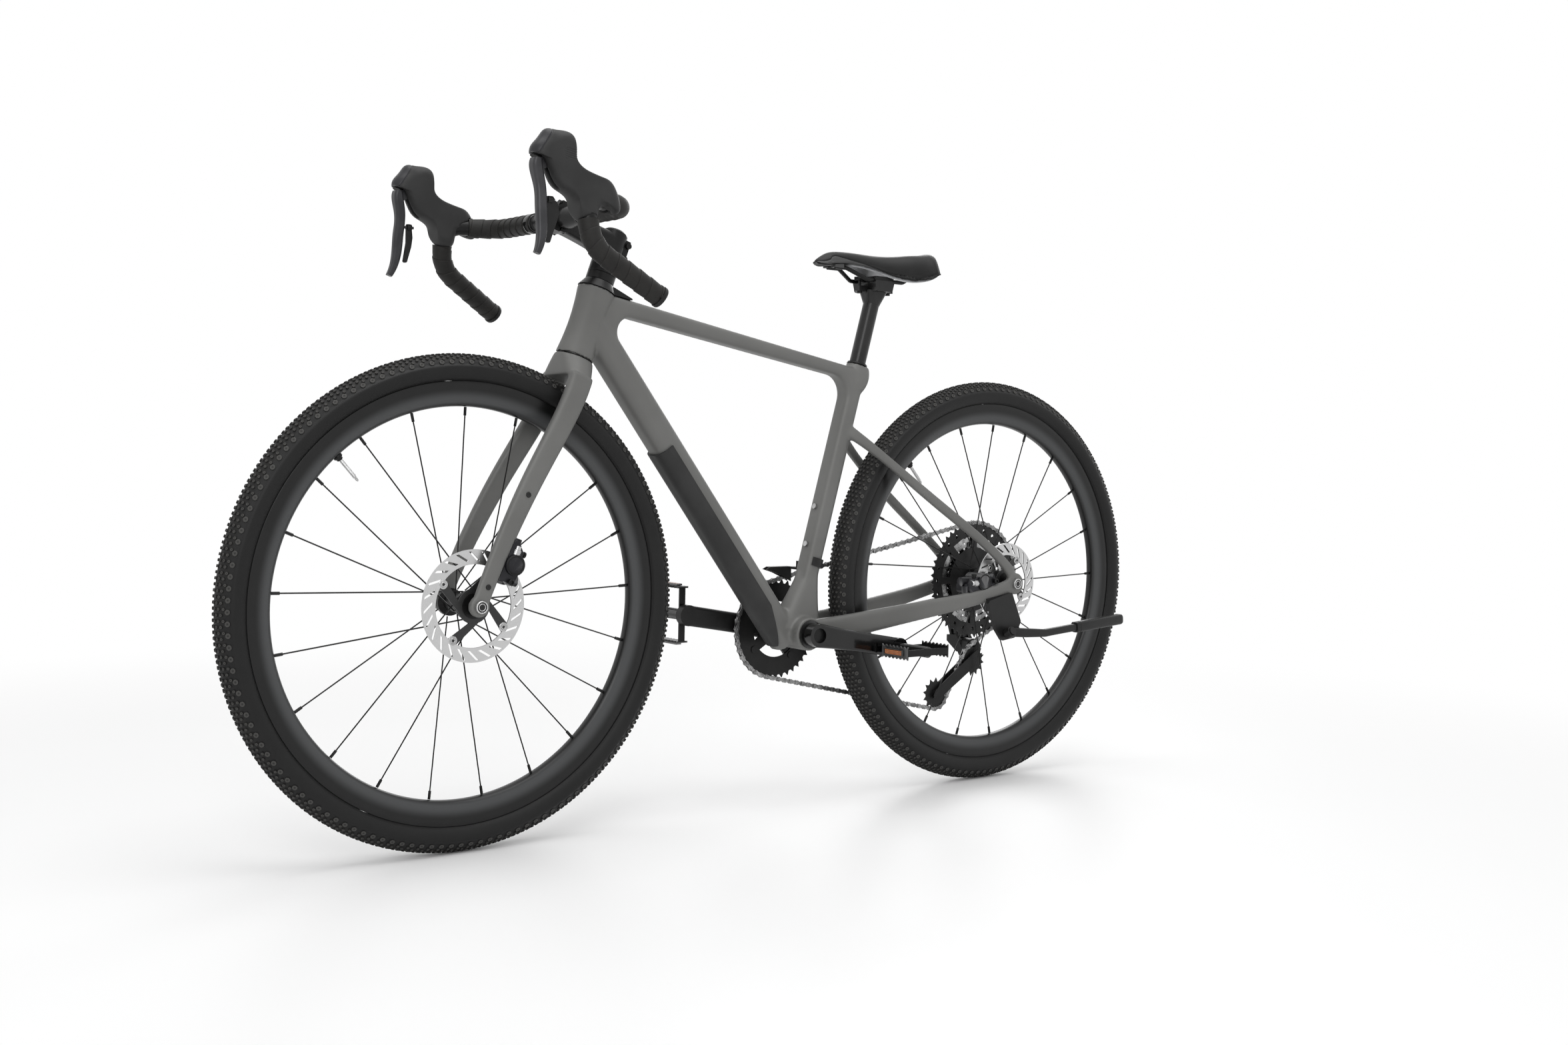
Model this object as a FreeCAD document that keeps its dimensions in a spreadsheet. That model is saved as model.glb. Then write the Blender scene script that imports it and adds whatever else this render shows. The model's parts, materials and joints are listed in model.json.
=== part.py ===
import FreeCAD
import Part
import Sketcher
import math
import os
import re
from FreeCAD import Placement, Rotation, Vector

# Gravel bicycle. +X is forward, +Y is the rider's left, +Z is up.
# The origin lies on the ground, half way between the axles. Lengths are in millimetres, angles in degrees.
SIZES = {
    # Stance
    "wheelbase": 1040,
    "tyre_radius": 355,
    "chainstay_length": 437.8,
    "bracket_drop": 71,
    "seat_angle": 74.5,
    "head_angle": 70,
    "fork_offset": 48,
    "crown_height": 397,
    # Clearances
    "fit": 0.05,
    "gap": 0.3,
    # Wheels
    "tyre_width": 45,
    "tyre_wall": 3,
    "rim_radius": 316,
    "rim_width": 30,
    "rim_depth": 36,
    "rim_nose_width": 12,
    "hook_wall": 3,
    "hook_depth": 7,
    "spoke_count": 21,
    "spoke_radius": 1.1,
    "spoke_sweep": 62,
    "spoke_stagger": 1.7,
    "nipple_radius": 2.3,
    "nipple_length": 12,
    "front_spoke_phase": 5.1,
    "rear_spoke_phase": 7.6,
    "valve_radius": 3,
    "valve_length": 42,
    "valve_phase": 48,
    # Hubs and axles
    "axle_radius": 6,
    "axle_head_radius": 9,
    "axle_head_length": 4,
    "front_spacing": 100,
    "rear_spacing": 142,
    "dropout_width": 11,
    "hub_cap_radius": 9.5,
    "hub_barrel_radius": 13,
    "flange_radius": 20,
    "flange_width": 6,
    "front_flange_left": 22,
    "front_flange_right": 33,
    "rear_flange_left": 34,
    "rear_flange_right": 16,
    "freehub_radius": 14.2,
    "freehub_axle_radius": 8.5,
    # Brakes
    "rotor_thickness": 1.8,
    "front_rotor_radius": 80,
    "rear_rotor_radius": 70,
    "rotor_track": 21,
    "rotor_seat_radius": 18,
    "rotor_shoulder": 2,
    "rotor_hub_radius": 25,
    "rotor_arm_width": 15,
    "rotor_sweep": 34,
    "rotor_arm_count": 4,
    "rotor_slot_count": 24,
    "rotor_slot_width": 4.5,
    "front_rotor_inset": 10.5,
    "rear_rotor_inset": 15.5,
    "pad_clearance": 0.5,
    "pad_thickness": 4,
    "pad_length": 22,
    "pad_height": 15,
    "caliper_length": 62,
    "piston_radius": 15,
    "caliper_width": 27,
    "caliper_throat": 11,
    "front_caliper_low": 45,
    "rear_caliper_fore": 45,
    # Head tube, headset and steerer
    "head_tube_length": 108,
    "head_tube_radius": 29,
    "head_tube_waist": 25,
    "bearing_radius": 26,
    "bearing_height": 7,
    "crown_race_radius": 20,
    "steerer_radius": 14.3,
    "cover_height": 13,
    "cover_tail": 46,
    "cover_tail_width": 28,
    "spacer_radius": 21.5,
    "spacer_height": 12,
    "spacer_count": 3,
    "spacer_edge": 0.7,
    "stem_stack": 42,
    "top_cap_height": 5,
    # Main tubes
    "top_tube_start": 27,
    "top_tube_end": 21,
    "web_width": 34,
    "web_round": 9,
    "throat_radius": 22,
    "seat_corner_radius": 32,
    "bracket_corner_radius": 18,
    "seat_tube_radius": 17,
    "seat_mast_height": 459,
    "flare_height": 100,
    "flare_depth": 92,
    "seat_collar_length": 46,
    "seat_collar_depth": 43,
    "seat_collar_width": 38,
    "collar_setback": 4,
    "down_tube_depth": 48,
    "down_tube_width": 45,
    "down_tube_round": 17,
    "down_tube_meet": 60,
    "down_tube_ahead": 19,
    "down_tube_below": 14,
    "guard_length": 400,
    "guard_start": 12,
    "guard_taper": 80,
    "guard_wall": 3,
    "shell_radius": 27,
    "shell_width": 86.5,
    "shell_bore": 20.5,
    "cup_depth": 20,
    "cup_flange": 2.2,
    # Stays and dropouts
    "stay_inside": 29,
    "chainstay_thickness": 14,
    "chainstay_depth": 40,
    "chainstay_tip_depth": 26,
    "seatstay_thickness": 12,
    "seatstay_depth": 17,
    "seatstay_height": 345,
    "dropout_radius": 19,
    # Fork
    "blade_depth": 38,
    "blade_tip_depth": 25,
    "blade_thickness": 18,
    "tyre_clearance": 7,
    "boss_radius": 2.5,
    "boss_depth": 9,
    "blade_boss_share": 0.436,
    "eyelet_share": 0.075,
    "fork_tip_radius": 15,
    "crown_depth": 34,
    "steerer_taper": 26,
    "steerer_wall": 2.4,
    # Handlebar, stem and controls
    "stem_length": 96,
    "stem_width": 38,
    "stem_wall": 5,
    "stem_round": 11,
    "face_depth": 12,
    "face_gap": 2,
    "pinch_half": 10,
    "bar_clamp_radius": 15.9,
    "bar_radius": 11.9,
    "bar_clamp_half": 32,
    "bar_taper_end": 58,
    "bar_corner": 182,
    "bar_reach": 80,
    "bar_hook_left": 207,
    "bar_drop": 124,
    "bar_end_left": 235,
    "bar_end_back": 20,
    "bar_hook_height": 62,
    "bar_hook_flare": 11,
    "bar_corner_radius": 45,
    "bar_brow_radius": 26,
    "bar_hook_radius": 50,
    "tape_thickness": 3.2,
    "tape_start": 66,
    "tape_grip_share": 0.56,
    "tape_drop_share": 0.46,
    "plug_length": 7,
    "hood_width": 35,
    "lever_pivot_fore": 60,
    "lever_pivot_up": 44,
    "lever_pin_radius": 2,
    "lever_tongue": 7,
    "lever_width": 14,
    "paddle_thickness": 4,
    "paddle_eye": 8,
    "paddle_corner": 2.5,
    # Seat
    "seatpost_radius": 13.6,
    "seatpost_insertion": 150,
    "post_head_drop": 22.2,
    "collar_ring": 3,
    "cradle_half": 22,
    "cradle_depth": 18,
    "clamp_bolt_reach": 31,
    "rail_radius": 3.5,
    "rail_spread": 22,
    "rail_height": 141.7,
    "rail_front": 58,
    "rail_front_spread": 10,
    "rail_front_rise": 17,
    "rail_back": 246,
    "rail_back_spread": 26,
    "rail_back_rise": 17,
    "saddle_fore": 151,
    "saddle_length": 288,
    "saddle_width": 142,
    "saddle_height": 55,
    "shell_thickness": 3,
    "cushion_gap": 0.9,
    # Drivetrain
    "chain_pitch": 12.7,
    "chainring_teeth": 40,
    "largest_teeth": 51,
    "pulley_teeth": 13,
    "chain_line": 49.7,
    "cassette_inset": 46,
    "sprocket_pitch": 3.6,
    "sprocket_thickness": 1.6,
    "roller_radius": 3.7,
    "valley_clearance": 0.25,
    "valley_flat": 2.2,
    "tooth_height": 2.5,
    "plate_height": 8,
    "plate_thickness": 0.8,
    "plate_gap": 0.1,
    "chain_inside": 2.3,
    "chainring_thickness": 1.8,
    "bolt_circle": 55,
    "spider_width": 15,
    "spider_thickness": 5,
    "chainring_bolt_radius": 4.5,
    "crank_length": 170,
    "crank_angle": 9.65,
    "spindle_radius": 12,
    "spindle_end": 62,
    "crank_hub_radius": 19,
    "crank_face": 46,
    "crank_root_width": 40,
    "crank_waist_width": 33,
    "crank_tip_width": 33,
    "crank_thickness": 14,
    "crank_outside": 75,
    "pedal_thread_radius": 7.1,
    "pedal_axle_radius": 4.5,
    "pedal_barrel_radius": 9,
    "pedal_length": 92,
    "pedal_width": 62,
    "pedal_height": 22,
    "pedal_wall": 3,
    "pedal_tooth": 4,
    "pedal_tooth_count": 7,
    "pedal_offset": 6,
    # Rear derailleur
    "hanger_drop": 28,
    "hanger_back": 9,
    "hanger_thickness": 7,
    "knuckle_radius": 13,
    "link_reach": 22,
    "link_drop": 60,
    "link_thickness": 5,
    "link_width": 24,
    "guide_below": 146,
    "guide_back": 2,
    "cage_length": 106,
    "cage_angle": -37,
    "cage_pivot_up": 18,
    "cage_pivot_back": 10,
    "cage_plate": 2,
    "cage_inside": 11,
    "cage_width": 19,
    "pulley_bolt_radius": 3,
    "clutch_radius": 19,
    "clutch_length": 24,
    "guide_height": 112,
    "guide_band": 14,
    "guide_room": 5,
    # Kickstand
    "kickstand_back": 30,
    "kickstand_below": 83,
    "kickstand_left": 99,
    "kickstand_eye": 14,
    "kickstand_bar": 6.5,
    "kickstand_tilt": 26,
    "kickstand_length": 290,
    "kickstand_bend": 86,
    "kickstand_rise": 4.5,
    "kickstand_sleeve": 125,
    "kickstand_pin": 4,
    "bracket_plate": 6,
    # Small fasteners
    "bolt_radius": 2.5,
    "bolt_head_radius": 4.5,
    "bolt_head_length": 3.5,
    "bottle_spacing": 64,
    "bottle_height": 145,
}

doc = FreeCAD.newDocument("gravel_bike")
sheet = doc.addObject("Spreadsheet::Sheet", "Sizes")
for row, (name, value) in enumerate(SIZES.items(), start=1):
    sheet.set(f"A{row}", name)
    sheet.set(f"B{row}", str(value))
    sheet.setAlias(f"B{row}", name)
doc.recompute()


class Size:
    """Reads a driving dimension from the sheet."""

    def __getattr__(self, name):
        return float(sheet.get(name))


s = Size()
FORWARD = Vector(1, 0, 0)
LEFT = Vector(0, 1, 0)
UP = Vector(0, 0, 1)
ORIGIN = Vector(0, 0, 0)
nodes = []


def keep(item, label):
    """Name a finished sub-part and list it for export."""
    item.Label = label
    nodes.append(item)
    return item


def feature(label, shape):
    """A sub-part whose shape comes from lofts, sweeps and cuts."""
    item = doc.addObject("Part::Feature", label)
    item.Shape = shape
    return keep(item, label)


def group(label, items):
    """Several separate pieces kept as one sub-part."""
    compound = doc.addObject("Part::Compound", label)
    compound.Links = items
    return keep(compound, label)


def bound(expression):
    """Write the sheet's names inside an expression in full."""
    def full(match):
        word = match.group()
        return f"Sizes.{word}" if word in SIZES else word
    return re.sub(r"[a-z_]+", full, expression)


def number(expression):
    """The present value of an expression on the sheet's names."""
    return float(sheet.evalExpression(bound(expression)))


# Sketches
def new_sketch(body, role, name):
    sketch = body.newObject("Sketcher::SketchObject", name)
    plane = next(item for item in body.Origin.OriginFeatures if item.Role == role)
    sketch.AttachmentSupport = (plane, [""])
    sketch.MapMode = "FlatFace"
    return sketch


def lock(sketch, axis, geometry, end, expression):
    """Hold one coordinate of a point to an expression."""
    if expression == "0":
        sketch.addConstraint(Sketcher.Constraint("PointOnObject", geometry, end, -2 if axis == "X" else -1))
        return
    value = number(expression)
    index = sketch.addConstraint(Sketcher.Constraint(f"Distance{axis}", -1, 1, geometry, end, value))
    sketch.setExpression(f"Constraints[{index}]", bound(expression))


def outline(sketch, corners):
    """A closed outline. A corner is (x, y), or (x, y, radius, bulge) where an arc leaves it, right or left of its way."""
    places = [Vector(number(corner[0]), number(corner[1]), 0) for corner in corners]
    ends = []
    for index, corner in enumerate(corners):
        start, finish = places[index], places[(index + 1) % len(places)]
        if len(corner) == 2:
            ends.append((sketch.addGeometry(Part.LineSegment(start, finish)), 1, 2))
            continue
        radius = number(corner[2])
        if corner[3] == "left":
            start, finish = finish, start
        chord = finish - start
        inward = Vector(-chord.y, chord.x, 0).normalize()
        reach = math.sqrt(max(radius**2 - (chord.Length / 2)**2, 0))
        centre = (start + finish) * 0.5 + inward * reach
        angles = [math.atan2(spot.y - centre.y, spot.x - centre.x) for spot in (start, finish)]
        arc = Part.ArcOfCircle(Part.Circle(centre, UP, radius), angles[0], angles[1])
        first, last = (1, 2) if corner[3] == "right" else (2, 1)
        ends.append((sketch.addGeometry(arc), first, last))
    for index, corner in enumerate(corners):
        here, after = ends[index], ends[(index + 1) % len(ends)]
        sketch.addConstraint(Sketcher.Constraint("Coincident", here[0], here[2], after[0], after[1]))
        lock(sketch, "X", here[0], here[1], corner[0])
        lock(sketch, "Y", here[0], here[1], corner[1])
    for (arc, first, last), corner in zip(ends, corners):
        if len(corner) > 2:
            held = sketch.addConstraint(Sketcher.Constraint("Radius", arc, number(corner[2])))
            sketch.setExpression(f"Constraints[{held}]", bound(corner[2]))


def hole(sketch, x, y, radius):
    """A round hole in a sketch."""
    circle = Part.Circle(Vector(number(x), number(y), 0), UP, number(radius))
    index = sketch.addGeometry(circle)
    lock(sketch, "X", index, 3, x)
    lock(sketch, "Y", index, 3, y)
    held = sketch.addConstraint(Sketcher.Constraint("Radius", index, number(radius)))
    sketch.setExpression(f"Constraints[{held}]", bound(radius))


def place(item, base, axis=LEFT):
    """Put a piece that was turned about its own Y axis on another axis."""
    item.Placement = Placement(base, Rotation(LEFT, axis))
    return item


def turned(name, corners, base, axis=LEFT):
    """A turned piece: corners are (radius, distance along the axis)."""
    body = doc.addObject("PartDesign::Body", name)
    sketch = new_sketch(body, "XY_Plane", "Profile")
    outline(sketch, corners)
    turn = body.newObject("PartDesign::Revolution", "Turn")
    turn.Profile = sketch
    turn.ReferenceAxis = (sketch, ["V_Axis"])
    turn.Angle = 360
    body.Tip = turn
    return place(body, base, axis)


def plate(name, corners, thickness, base=ORIGIN, holes=()):
    """A flat piece cut to an outline in the bicycle's side view, centred on its thickness."""
    body = doc.addObject("PartDesign::Body", name)
    sketch = new_sketch(body, "XZ_Plane", "Outline")
    outline(sketch, corners)
    for x, y, radius in holes:
        hole(sketch, x, y, radius)
    pad = body.newObject("PartDesign::Pad", "Thickness")
    pad.Profile = sketch
    pad.SideType = "Symmetric"
    pad.setExpression("Length", bound(thickness))
    body.Tip = pad
    body.Placement = Placement(base, Rotation())
    return body


def cylinder(name, radius, length, base, axis):
    """A round bar from a point along an axis."""
    item = doc.addObject("Part::Cylinder", name)
    item.setExpression("Radius", bound(radius))
    item.setExpression("Height", bound(length))
    item.Placement = Placement(base, Rotation(UP, axis))
    return item


def bolt(name, base, axis, length):
    """A cap screw whose head rests at base and whose shank runs against axis."""
    head = cylinder(name + "Head", "bolt_head_radius", "bolt_head_length", base, axis)
    shank = cylinder(name + "Shank", "bolt_radius - fit", length, base, axis * -1)
    screw = doc.addObject("Part::Fuse", name)
    screw.Base = head
    screw.Tool = shank
    return screw


# Lofts, sweeps and plain solids
def oblong(centre, across, along, width, depth, corner):
    """A rounded rectangle, width in the direction across and depth in the direction along."""
    across, along = Vector(across).normalize(), Vector(along).normalize()
    a, b = width / 2, depth / 2
    r = min(corner, 0.98 * a, 0.98 * b)
    k = r * (1 - math.sqrt(0.5))

    def at(u, v):
        return centre + across * u + along * v
    edges = []
    for su, sv in ((1, 1), (-1, 1), (-1, -1), (1, -1)):
        flat = (at(su * a, sv * (b - r)), at(su * (a - r), sv * b))
        first, last = flat if su * sv > 0 else flat[::-1]
        middle = at(su * (a - k), sv * (b - k))
        if edges:
            edges.append(Part.LineSegment(edges[-1].valueAt(edges[-1].LastParameter), first).toShape())
        edges.append(Part.Arc(first, middle, last).toShape())
    edges.append(Part.LineSegment(last, edges[0].valueAt(edges[0].FirstParameter)).toShape())
    return Part.Wire(edges)


def loft(stations):
    """A limb through rounded sections: (centre, direction, width across Y, depth, corner)."""
    wires = []
    for centre, direction, width, depth, corner in stations:
        run = Vector(direction).normalize()
        across = (LEFT - run * LEFT.dot(run)).normalize()
        wires.append(oblong(centre, across, run.cross(across), width, depth, corner))
    return Part.makeLoft(wires, True, False)


def rounded_path(points, radius):
    """Straight runs joined by tangent arcs."""
    edges = []
    start = points[0]
    for index in range(1, len(points) - 1):
        before = (points[index - 1] - points[index]).normalize()
        after = (points[index + 1] - points[index]).normalize()
        half = before.getAngle(after) / 2
        reach = radius[index - 1] / math.tan(half)
        first, last = points[index] + before * reach, points[index] + after * reach
        middle_way = (before + after).normalize()
        centre = points[index] + middle_way * (radius[index - 1] / math.sin(half))
        middle = centre - middle_way * radius[index - 1]
        edges.append(Part.LineSegment(start, first).toShape())
        edges.append(Part.Arc(first, middle, last).toShape())
        start = last
    edges.append(Part.LineSegment(start, points[-1]).toShape())
    return Part.Wire(edges)


def tube(path, radius):
    """A round rod along a path."""
    first = path.Edges[0]
    start = first.valueAt(first.FirstParameter)
    profile = Part.Wire(Part.makeCircle(radius, start, first.tangentAt(first.FirstParameter)))
    return path.makePipeShell([profile], True, False)


def rod(base, axis, radius, length):
    return Part.makeCylinder(radius, length, base, axis)


def slab(corners, centre_y, thickness, radius=None):
    """A plate in the side view, from (x, z) corners with rounded ones where radius is given."""
    points = [Vector(x, centre_y - thickness / 2, z) for x, z in corners]
    if radius is None:
        wire = Part.makePolygon(points + points[:1])
    else:
        start = (points[-1] + points[0]) * 0.5
        turns = radius if isinstance(radius, list) else [radius] * len(points)
        wire = rounded_path([start] + points + [start], turns)
    return Part.Face(wire).extrude(LEFT * thickness)


def block(low, high):
    """A box between two corners."""
    size = high - low
    return Part.makeBox(size.x, size.y, size.z, low)


def mirrored(shape):
    return shape.mirror(ORIGIN, LEFT)


def polar(angle, radius, centre=ORIGIN, y=0):
    """A point in the side view at an angle from forward, rising."""
    turn = math.radians(angle)
    return Vector(centre.x + radius * math.cos(turn), y, centre.z + radius * math.sin(turn))


# Layout of the axles, the bottom bracket, the steering axis and the seat axis
front_centre = Vector(s.wheelbase / 2, 0, s.tyre_radius)
rear_centre = Vector(-s.wheelbase / 2, 0, s.tyre_radius)
stay_run = math.sqrt(s.chainstay_length**2 - s.bracket_drop**2)
bracket = Vector(rear_centre.x + stay_run, 0, s.tyre_radius - s.bracket_drop)
steer_up = Vector(-math.cos(math.radians(s.head_angle)), 0, math.sin(math.radians(s.head_angle)))
steer_fore = Vector(steer_up.z, 0, -steer_up.x)
steer_foot = front_centre - steer_fore * s.fork_offset
seat_up = Vector(-math.cos(math.radians(s.seat_angle)), 0, math.sin(math.radians(s.seat_angle)))
seat_fore = Vector(seat_up.z, 0, -seat_up.x)


def steerer(up, fore=0, left=0):
    """A point on the steering axis, or beside it."""
    return steer_foot + steer_up * up + steer_fore * fore + LEFT * left


def seat(up, fore=0, left=0):
    """A point on the seat tube's axis, or beside it."""
    return bracket + seat_up * up + seat_fore * fore + LEFT * left


head_low = s.crown_height + 1
head_high = head_low + s.head_tube_length
cover_top = head_high + s.cover_height
stem_low = cover_top + s.spacer_height * s.spacer_count + s.gap
stem_high = stem_low + s.stem_stack
bar_centre = steerer((stem_low + stem_high) / 2, s.stem_length)


# Wheels
def tyre(name, centre):
    """An open-bottomed casing whose beads sit inside the rim's hooks."""
    half, inner = "tyre_width / 2", "(tyre_width / 2 - tyre_wall)"
    middle, crown = "tyre_radius - tyre_width / 2", "tyre_radius - tyre_wall"
    lip, bead = "rim_radius + gap", "rim_radius - hook_depth + gap"
    edge, seat_edge = "rim_width / 2", "(rim_width / 2 - hook_wall - gap)"
    return turned(name, [
        (lip, f"0 - {edge}"), (middle, f"0 - {half}", half, "right"), ("tyre_radius", "0", half, "right"),
        (middle, half), (lip, edge), (lip, seat_edge), (bead, seat_edge), (bead, f"{seat_edge} - tyre_wall"),
        (lip, f"{seat_edge} - tyre_wall"), (middle, inner, inner, "left"), (crown, "0", inner, "left"), (middle, f"0 - {inner}"),
        (lip, f"tyre_wall - {seat_edge}"), (bead, f"tyre_wall - {seat_edge}"), (bead, f"0 - {seat_edge}"), (lip, f"0 - {seat_edge}"),
    ], centre)


def rim(name, centre):
    """A deep rim, widest half way down its walls."""
    edge, nose = "rim_width / 2", "rim_nose_width / 2"
    inside, shoulder = "rim_radius - rim_depth", "rim_radius - rim_depth / 2"
    well, hook = "rim_radius - hook_depth", "(rim_width / 2 - hook_wall)"
    return turned(name, [
        (inside, f"0 - {nose}"), (inside, nose), (shoulder, edge), ("rim_radius", edge), ("rim_radius", hook),
        (well, hook), (well, f"0 - {hook}"), ("rim_radius", f"0 - {hook}"), ("rim_radius", f"0 - {edge}"),
        (shoulder, f"0 - {edge}"),
    ], centre)


def spokes(centre, flange_left, flange_right, phase, paired_side):
    """Spokes in threes: a crossed pair from one flange and a straight one from the other."""
    solids = []
    nose = s.rim_radius - s.rim_depth - s.fit
    root = s.flange_radius + s.spoke_radius + s.fit
    for index in range(int(s.spoke_count)):
        angle = phase + index * 360 / s.spoke_count
        turn = (1, 0, -1)[index % 3]
        side = paired_side if turn else -paired_side
        flange = flange_left if side > 0 else -flange_right
        foot = polar(angle + turn * s.spoke_sweep, root, centre, flange + turn * s.spoke_stagger)
        tip = polar(angle, nose - 2 * s.gap, centre)
        run = (tip - foot).normalize()
        neck = tip - run * s.nipple_length
        across = LEFT.cross(run)
        for start, end, radius in ((foot, neck, s.spoke_radius), (neck, tip, s.nipple_radius)):
            corners = [start + across * a * radius + run.cross(across) * b * radius
                       for a, b in ((1, 0), (0.5, 0.87), (-0.5, 0.87), (-1, 0), (-0.5, -0.87), (0.5, -0.87))]
            solids.append(Part.Face(Part.makePolygon(corners + corners[:1])).extrude(end - start))
    return Part.makeCompound(solids)


def hub(name, centre, spacing, flange_left, flange_right, rotor_inset, right_end):
    """A hub shell with two flanges and a rotor seat; right_end lists the corners right of its right flange."""
    end = f"({spacing} / 2 - gap)"
    bore = "axle_radius + fit"
    rotor = f"({spacing} / 2 - {rotor_inset})"
    fw = "flange_width / 2"
    return turned(name, [(bore, f"0 - {end}")] + right_end + [
        ("flange_radius", f"0 - {flange_right} - {fw}"), ("flange_radius", f"{fw} - {flange_right}"),
        ("hub_barrel_radius", f"flange_width - {flange_right}"),
        ("hub_barrel_radius", f"{flange_left} - flange_width"),
        ("flange_radius", f"{flange_left} - {fw}"), ("flange_radius", f"{flange_left} + {fw}"),
        ("hub_barrel_radius", f"{flange_left} + flange_width"),
        ("hub_barrel_radius", f"{rotor} - rotor_shoulder"),
        ("rotor_seat_radius + rotor_shoulder", f"{rotor} - rotor_shoulder"),
        ("rotor_seat_radius + rotor_shoulder", f"{rotor} - rotor_thickness / 2"),
        ("rotor_seat_radius", f"{rotor} - rotor_thickness / 2"), ("rotor_seat_radius", f"{rotor} + rotor_shoulder"),
        ("hub_cap_radius", f"{rotor} + rotor_shoulder"), ("hub_cap_radius", end), (bore, end),
    ], centre)


def ring_cut(body, corners, count, depth):
    """Cut an outline through a disc and repeat it round the axle."""
    sketch = new_sketch(body, "XZ_Plane", "CutOutline")
    outline(sketch, corners)
    pocket = body.newObject("PartDesign::Pocket", "Cut")
    pocket.Profile = sketch
    pocket.SideType = "Symmetric"
    pocket.setExpression("Length", bound(depth))
    pattern = body.newObject("PartDesign::PolarPattern", "Around")
    pattern.Originals = [pocket]
    pattern.Axis = (sketch, ["N_Axis"])
    pattern.Angle = 360
    pattern.setExpression("Occurrences", bound(count))
    body.Tip = pattern


def rotor(name, radius, centre):
    """A slotted brake ring on a four-armed carrier."""
    body = doc.addObject("PartDesign::Body", name)
    sketch = new_sketch(body, "XZ_Plane", "Disc")
    hole(sketch, "0", "0", radius)
    hole(sketch, "0", "0", "rotor_seat_radius + fit")
    pad = body.newObject("PartDesign::Pad", "Ring")
    pad.Profile = sketch
    pad.SideType = "Symmetric"
    pad.setExpression("Length", bound("rotor_thickness"))
    body.Tip = pad
    outer, inner, arm = f"({radius} - rotor_track)", "rotor_hub_radius", "rotor_arm_width / 2"
    share, sweep = "360 deg / rotor_arm_count", "rotor_sweep * 1 deg"
    tip, root = f"asin({arm} / {outer})", f"asin({arm} / {inner})"
    ring_cut(body, [
        (f"{inner} * cos({root})", f"{inner} * sin({root})"),
        (f"{outer} * cos({sweep} + {tip})", f"{outer} * sin({sweep} + {tip})", outer, "right"),
        (f"{outer} * cos({share} + {sweep} - {tip})", f"{outer} * sin({share} + {sweep} - {tip})"),
        (f"{inner} * cos({share} - {root})", f"{inner} * sin({share} - {root})", inner, "left"),
    ], "rotor_arm_count", "rotor_thickness * 2")
    low, high, wide = f"{radius} - rotor_track * 0.8", f"{radius} - rotor_track * 0.15", "rotor_slot_width"
    ring_cut(body, [
        (low, wide), (high, f"0 - 2 * {wide}"), (high, f"0 - {wide}"), (low, f"2 * {wide}"),
    ], "rotor_slot_count", "rotor_thickness * 2")
    body.Placement = Placement(centre, Rotation())
    return body


def wheel(side, centre, spacing, flanges, rotor_size, right_end, phase, paired_side):
    """All the pieces that turn with one wheel."""
    rotor_radius, rotor_inset = rotor_size
    keep(tyre(side + "Tyre", centre), side + "_tyre")
    nose = s.rim_radius - s.rim_depth - s.fit
    valve = cylinder(side + "Valve", "valve_radius", "valve_length", polar(s.valve_phase, nose, centre),
                     polar(s.valve_phase, -1))
    group(side + "_rim", [rim(side + "RimHoop", centre), valve])
    feature(side + "_spokes", spokes(centre, number(flanges[0]), number(flanges[1]), phase, paired_side))
    keep(hub(side + "Hub", centre, spacing, flanges[0], flanges[1], rotor_inset, right_end), side + "_hub")
    disc_place = centre + LEFT * number(f"{spacing} / 2 - {rotor_inset}")
    keep(rotor(side + "Rotor", rotor_radius, disc_place), side + "_rotor")


front_end = [
    ("hub_cap_radius", "gap - front_spacing / 2"), ("hub_cap_radius", "0 - front_flange_right - 2 * flange_width"),
    ("hub_barrel_radius", "0 - front_flange_right - 2 * flange_width"),
    ("hub_barrel_radius", "0 - front_flange_right - flange_width"),
]
rear_end = [
    ("freehub_axle_radius", "gap - rear_spacing / 2"), ("freehub_axle_radius", "0 - rear_flange_right - flange_width"),
    ("hub_barrel_radius", "0 - rear_flange_right - flange_width"),
]
wheel("front", front_centre, "front_spacing", ("front_flange_left", "front_flange_right"),
      ("front_rotor_radius", "front_rotor_inset"), front_end, s.front_spoke_phase, 1)
wheel("rear", rear_centre, "rear_spacing", ("rear_flange_left", "rear_flange_right"),
      ("rear_rotor_radius", "rear_rotor_inset"), rear_end, s.rear_spoke_phase, -1)


def axle(label, centre, spacing, thread_side):
    """A through axle whose head rests on the left dropout."""
    head = f"({spacing} / 2 + dropout_width)"
    keep(turned(label.title().replace("_", ""), [
        ("0", f"0 - {head} + {thread_side}"), ("axle_radius", f"0 - {head} + {thread_side}"),
        ("axle_radius", head), ("axle_head_radius", head), ("axle_head_radius", f"{head} + axle_head_length"),
        ("0", f"{head} + axle_head_length"),
    ], centre), label)


axle("front_axle", front_centre, "front_spacing", "gap")
axle("rear_axle", rear_centre, "rear_spacing", "gap")


# Frame
def crossing(start, way, other, other_way):
    """Where two lines in the side view meet."""
    offset = other - start
    share = (offset.x * other_way.z - offset.z * other_way.x) / (way.x * other_way.z - way.z * other_way.x)
    return start + way * share


def side_edges(shape, half):
    """Edges that lie on either flat side of a plate."""
    return [edge for edge in shape.Edges
            if all(abs(abs(vertex.Point.y) - half) < 0.01 for vertex in edge.Vertexes)]


top_front = steerer(head_high - 1, -s.steerer_radius / 3)
top_rear = seat(s.seat_mast_height - s.seat_collar_depth / 6)
down_high = steerer(head_low + s.down_tube_meet)
down_low = bracket + Vector(s.down_tube_ahead, 0, -s.down_tube_below)
down_way = (down_high - down_low).normalize()
down_normal = Vector(-down_way.z, 0, down_way.x)
down_length = (down_high - down_low).Length


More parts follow.
